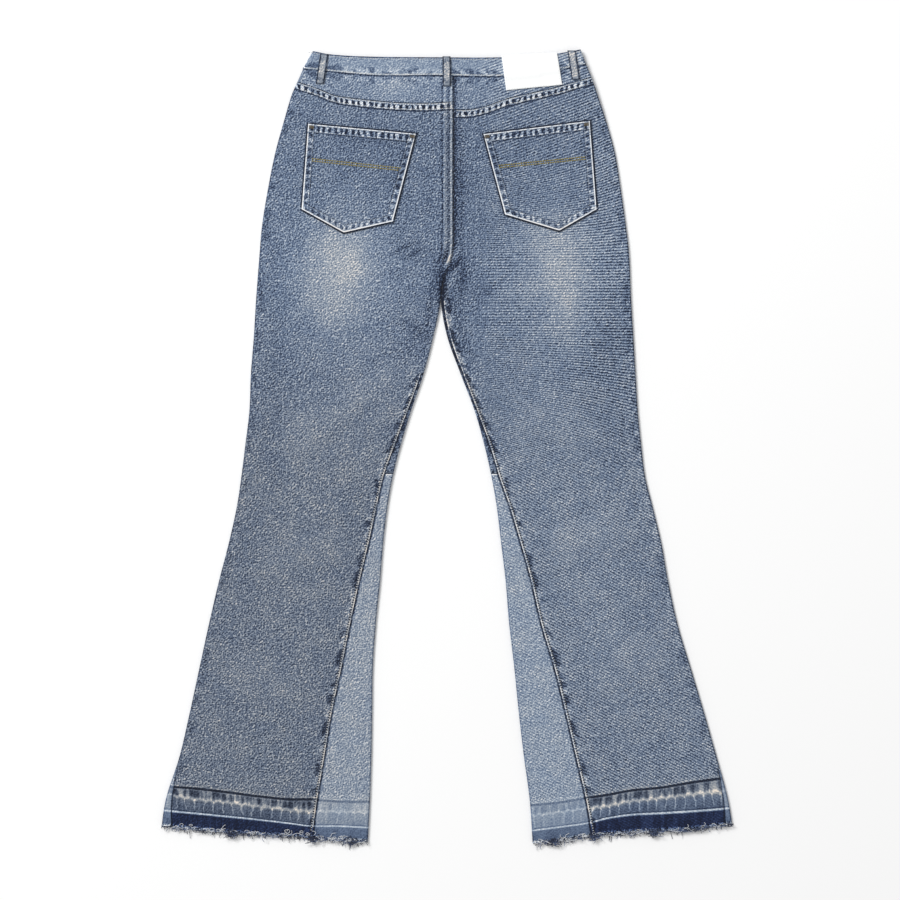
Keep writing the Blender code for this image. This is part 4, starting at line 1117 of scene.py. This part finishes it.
button = built("waist_button_shell", form, brass)
button.data.set_sharp_from_angle(angle=math.radians(40))
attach(button, "root")
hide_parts("waist_button")

# ---------------------------------------------------------------- Stitching
# Lockstitched cotton thread in six shades. Each stitch is a short bead that sinks at both ends, and the
# bar tacks are stacks of them.


def yarn(name, code):
    """Spun and twisted cotton, matt with a faint fuzz."""
    return surface(name, {"Base Color": linear(code), "Roughness": 0.8, "Sheen Weight": 0.1})


def row(points, pitch, size):
    """Stitches along a line of points: place, direction and size of each."""
    points = np.asarray(points, float)
    lengths = np.concatenate(((0,), np.cumsum(np.linalg.norm(np.diff(points, axis=0), axis=1))))
    at = np.arange(pitch / 2, lengths[-1], pitch)
    places, ahead, behind = [
        np.stack([np.interp(at + on, lengths, points[:, n]) for n in range(3)], axis=1)
        for on in (0, 0.5, -0.5)]
    return [(p, a - b, size) for p, a, b in zip(places, ahead, behind)]


def sew(name, finish, beads):
    """One object of many stitches: a small bead copied to each place, turned along its row."""
    form = bmesh.new()
    bmesh.ops.create_uvsphere(form, u_segments=6, v_segments=4, radius=0.5)
    bead = np.array([vertex.co for vertex in form.verts])
    sides = [[vertex.index for vertex in face.verts] for face in form.faces]
    form.free()
    spots, faces = [], []
    for place, toward, size in beads:
        turned = np.array(Vector(toward).to_track_quat("X", "Z").to_matrix())
        faces += [[n + len(bead) * len(spots) for n in side] for side in sides]
        spots.append((bead * np.array(size)) @ turned.T + place + SHIFT)
    mesh = bpy.data.meshes.new(name)
    mesh.from_pydata(np.concatenate(spots) * MM, [], faces)
    mesh.materials.append(finish)
    mesh.polygons.foreach_set("use_smooth", np.ones(len(mesh.polygons), bool))
    piece = placed(name, mesh)
    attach(piece, "root")


# Length, width and height of a stitch: of the plain rows, the thin seat seam, the inserts and the pockets
STITCH = (3.0, 0.95, 0.6)
THIN_STITCH = (3.0, 0.7, 0.5)
NAVY_STITCH = (2.1, 2.8, 0.9)
CREAM_STITCH = (1.2, 2.2, 0.7)
GOLD_STITCH = (3.1, 2.1, 0.8)
PATCH_STITCH = (2.4, 0.6, 0.4)
TACK_STITCH = (6.0, 0.5, 0.5)
LOOP_TACK_STITCH = (9.0, 0.6, 0.5)

cream, grey, navy, gold, tacks, white = [], [], [], [], [], []
for half in HALVES:
    side = OUTWARD[half]
    x = np.linspace(float(edge_x(half, "inner", np.array(465.0))) + side * 3, side * 205, 90)
    for below in (1.6, 8.6):
        y = YOKE[half](x) - below
        inside = abs(x) < abs(OUTER[half](y)) - 4
        cream += row(np.stack((x, y, panel_z(half, x, y) + 0.1), axis=1)[inside], 3.5, STITCH)
    y = np.linspace(94, -520, 400)
    x = edge_x(half, "inner", y) + side * (INSERT[half](y) + 3.5)
    beside = np.stack((x, y, panel_z(half, x, y) + 0.2), axis=1)
    # Navy stitches, with the seam's edge worn pale between them
    navy += row(beside, 3.4, NAVY_STITCH)
    cream += row(beside + (0, -1.7, 0), 3.4, CREAM_STITCH)
y = np.linspace(503, 252, 160)
for away in (2.4, 11.4):
    x = edge_x("left", "inner", y) - away
    grey += row(np.stack((x, y, panel_z("left", x, y) + 0.08), axis=1), 3.5, THIN_STITCH)
x = np.linspace(-190, 184, 240)
for y in (SEAM_AT_WAIST(x) + 2.4, RIM_AT_WAIST(x) - 2.6):
    cream += row(np.stack((x, y, np.full(len(x), WAISTBAND_TOP + 0.02)), axis=1), 3.5, STITCH)
for half, corners in POCKETS.items():
    top_left, top_right, low_right, point, low_left = [np.array(c, float) for c in corners]
    middle = (top_left + top_right + low_right + point + low_left) / 5

    def on_pocket(a, b, count=60):
        """Points on the pocket from a to b."""
        x, y = (a + (b - a) * np.linspace(0, 1, count)[:, None]).T
        thick = pocket_cloth(from_line(x, y, top_left, top_right))[0]
        return np.stack((x, y, carried_z(x, y) + POCKET_CLEARANCE + thick + 0.2), axis=1)

    def across_pocket(down, inset):
        """Points straight across the pocket, at a share of its depth and in from its sides."""
        a, b = top_left + (low_left - top_left) * down, top_right + (low_right - top_right) * down
        return on_pocket(a + (b - a) * inset, b + (a - b) * inset)

    for inset in (2.2, 8.4):
        pulled = []
        for corner in (top_left, low_left, point, low_right, top_right):
            pulled.append(corner + (middle - corner) / np.linalg.norm(middle - corner) * inset * 1.25)
        pulled[0] = top_left + (top_right - top_left) * inset / 148 + (low_left - top_left) * 0.012
        pulled[-1] = top_right + (top_left - top_right) * inset / 148 + (low_right - top_right) * 0.012
        for a, b in zip(pulled, pulled[1:]):
            grey += row(on_pocket(a, b), 3.4, STITCH)
    for down in (0.018, 0.092):
        grey += row(across_pocket(down, 0.02), 3.4, STITCH)
    for down in (0.400, 0.427):
        gold += row(across_pocket(down, 0.065), 3.3, GOLD_STITCH)
    for corner, other in ((top_left, top_right), (top_right, top_left)):
        toward = (other - corner) / np.linalg.norm(other - corner)
        for k in range(9):
            start = corner + toward * (1.4 + k * 0.75) + (middle - corner) * 0.012
            line = on_pocket(start, start + np.array((0.0, -7.0)), 5)
            line[:, 2] += 0.25
            tacks.append((line[2], line[-1] - line[0], TACK_STITCH))
for _, top_x, top_y, low_x, low_y, _ in LOOPS[:3]:
    for share in (0.06, 0.94):
        for k in range(6):
            x, y = top_x + (low_x - top_x) * share, top_y + (low_y - top_y) * share + (k - 2.5) * 0.6
            z = float(carried_z(np.array(float(x)), np.array(float(y)))) + 1.75
            grey.append((np.array((x, y, z)), np.array((1.0, 0, 0)), LOOP_TACK_STITCH))
corners = np.array(PATCH, float)
corners = corners + (corners.mean(axis=0) - corners) * 0.055
for a, b in zip(corners, np.roll(corners, -1, axis=0)):
    xy = a + (b - a) * np.linspace(0, 1, 40)[:, None]
    z = carried_z(xy[:, 0], xy[:, 1]) + SEAM_GAP + PATCH_CARD + 0.2
    white += row(np.column_stack((xy, z)), 3.6, PATCH_STITCH)
for name, shade, code, beads in (
    ("cream_stitching", "cream thread", "#c3c6c6", cream),
    ("faded_stitching", "faded blue thread", "#8e98a5", grey),
    ("navy_stitching", "navy thread", "#1a2238", navy),
    ("golden_stitching", "golden thread", "#857a40", gold),
    ("bar_tacks", "worn golden thread", "#776c5a", tacks),
    ("patch_stitching", "white thread", "#f2f2ef", white),
):
    sew(name, yarn(shade, code), beads)

# ---------------------------------------------------------------- Frayed hems
# The raw lower edges have frayed: short loose yarns all along them, white weft and blue warp, with a few
# long threads and small tangles.

FRAY_YARNS = [yarn(name, code) for name, code in (
    ("white weft yarn", "#d9dce0"), ("blue warp yarn", "#55678c"), ("dark warp yarn", "#242d45"))]
YARN_RADIUS = 0.33
YARN_POINTS = 9
# Height of the yarns' edge and how many they are
FRAYS = {"back": (LAID_HEIGHT - 0.6, 250), "front": (0.6, 150)}
TANGLES = {"left": (-292, -183, -131), "right": (143, 199, 280)}
CURLS = {"left": 26, "right": 14}
rng = random.Random(7)


def strands(name, paths, finish):
    """Thin yarns, each along its own points."""
    line = bpy.data.curves.new(name, "CURVE")
    line.dimensions = "3D"
    line.bevel_depth = YARN_RADIUS * MM
    line.bevel_resolution = 0
    line.resolution_u = 2
    for path in paths:
        spline = line.splines.new("POLY")
        spline.points.add(len(path) - 1)
        for spot, point in zip(spline.points, path):
            spot.co = (*((np.array(point) + SHIFT) * MM), 1.0)
    line.materials.append(finish)
    piece = placed(name, line)
    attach(piece, "root")
    return piece


def loose_yarn(half, face, base, start, end):
    """A short yarn that lies along the raw edge or hangs down from it."""
    x = rng.uniform(start, end)
    y = float(HEM_LINES[half][0](np.array(x))) + rng.uniform(-0.8, 2.2)
    lies_along = rng.random() < 0.6
    if lies_along:
        run, drop = rng.choice((-1, 1)) * rng.uniform(4.0, 15.0), rng.uniform(-1.5, 2.5)
    else:
        run = rng.uniform(-4.0, 4.0)
        drop = rng.choice((2.5, 3.0, 4.0, 5.0, 9.0)) * rng.uniform(0.7, 1.3)
    bend, curl = rng.uniform(-2.6, 2.6), rng.uniform(0.6, 2.4)
    z = base + rng.uniform(0.0, 0.5) + (0.9 if lies_along and face == "back" else 0.0)
    sag = (base - 0.5) * 0.8 if face == "back" and not lies_along else 0.0
    path = []
    for t in np.linspace(0, 1, YARN_POINTS):
        across = min(max(x + run * t, start - 2), end + 2)
        path.append((across, y - drop * t + bend * math.sin(t * math.pi * curl), max(0.4, z - sag * t * t)))
    return path


def tangled_yarn(half, spot, base, wide, raised):
    """A yarn that has rolled up at a place on the raw edge."""
    x, y = spot + rng.uniform(-wide, wide), float(HEM_LINES[half][0](np.array(spot)))
    y += raised + rng.uniform(-2.5, 2.5)
    angle, turning, path = rng.uniform(0, 2 * math.pi), rng.choice((-1, 1)) * rng.uniform(0.2, 0.8), []
    for _ in range(YARN_POINTS):
        path.append((x, y, base + rng.uniform(0.8, 2.2)))
        angle += turning + rng.uniform(-0.4, 0.4)
        x, y = x + 1.5 * math.cos(angle), y + 1.0 * math.sin(angle)
    return path


for half in HALVES:
    for face, (base, count) in FRAYS.items():
        start, end = sorted(
            float(edge_x(half, edge, np.array(HEM_LEVEL))) + inward(half, edge) * 3
            for edge in ("inner", "outer"))
        paths = [[], [], []]
        for _ in range(count):
            path = loose_yarn(half, face, base, start, end)
            paths[rng.choice((0, 0, 1, 1, 2, 2, 2))].append(path)
        if face == "back":
            # Where, how many yarns, how wide, in which shades and how far up from the edge
            rolled = [(rng.uniform(start + 6, end - 6), 2, 5.0, (0, 0, 0, 1), 2.5)
                      for _ in range(CURLS[half])]
            rolled += [(spot, 36, 4.0, (2, 2, 2, 2, 2, 1), -1.0) for spot in TANGLES[half]]
            for spot, many, wide, shades, raised in rolled:
                for _ in range(many):
                    path = tangled_yarn(half, spot, base, wide, raised)
                    paths[rng.choice(shades)].append(path)
        name = "hem_fray_" + half if face == "back" else "hem_fray_front_" + half
        for shade, lines in enumerate(paths):
            piece = strands(name + "_yarns_" + str(shade + 1), lines, FRAY_YARNS[shade])
            if shade == 0:
                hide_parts(name)

# ---------------------------------------------------------------- Floor, light and camera
# A plain white floor, a wide soft light from the upper left and an even white room.

FLOOR_DROP = 0.2
# Uncoated white paper, without any gleam
paper = surface("white paper floor", {"Base Color": linear("#ffffff"), "Roughness": 1.0,
                                      "Specular IOR Level": 0.0})
form = bmesh.new()
bmesh.ops.create_grid(form, x_segments=1, y_segments=1, size=6.0)
bmesh.ops.translate(form, verts=form.verts, vec=(0, 0, -FLOOR_DROP * MM))
floor = built("floor", form, paper)

LIGHT_DISTANCE = 8.0
LIGHT_SIDE = (-0.62, 0.62, 0.75)
lamp = bpy.data.lights.new("soft box", "AREA")
lamp.energy = 500.0
lamp.size = 3.0
soft_box = placed("soft box", lamp)
away = Vector(LIGHT_SIDE).normalized()
soft_box.location = away * LIGHT_DISTANCE
soft_box.rotation_euler = away.to_track_quat("Z", "Y").to_euler()
world = bpy.data.worlds.new("white room")
world.use_nodes = True
room = world.node_tree.nodes["Background"]
room.inputs["Strength"].default_value = 0.53
room.inputs["Color"].default_value = (1.0, 1.0, 1.0, 1.0)
bpy.context.scene.world = world
bpy.context.scene.view_settings.view_transform = "Standard"

# The photo's 900 pixels are 1.224 m, and its middle is a little off the garment's
FIELD = 1.224
CAMERA_HEIGHT = 5.0
SENSOR = 36.0
camera_data = bpy.data.cameras.new("camera")
camera_data.sensor_width = SENSOR
camera_data.lens = SENSOR * CAMERA_HEIGHT / FIELD
camera = placed("camera", camera_data)
camera.location = (0.00422, 0.0012, CAMERA_HEIGHT)
bpy.context.scene.camera = camera
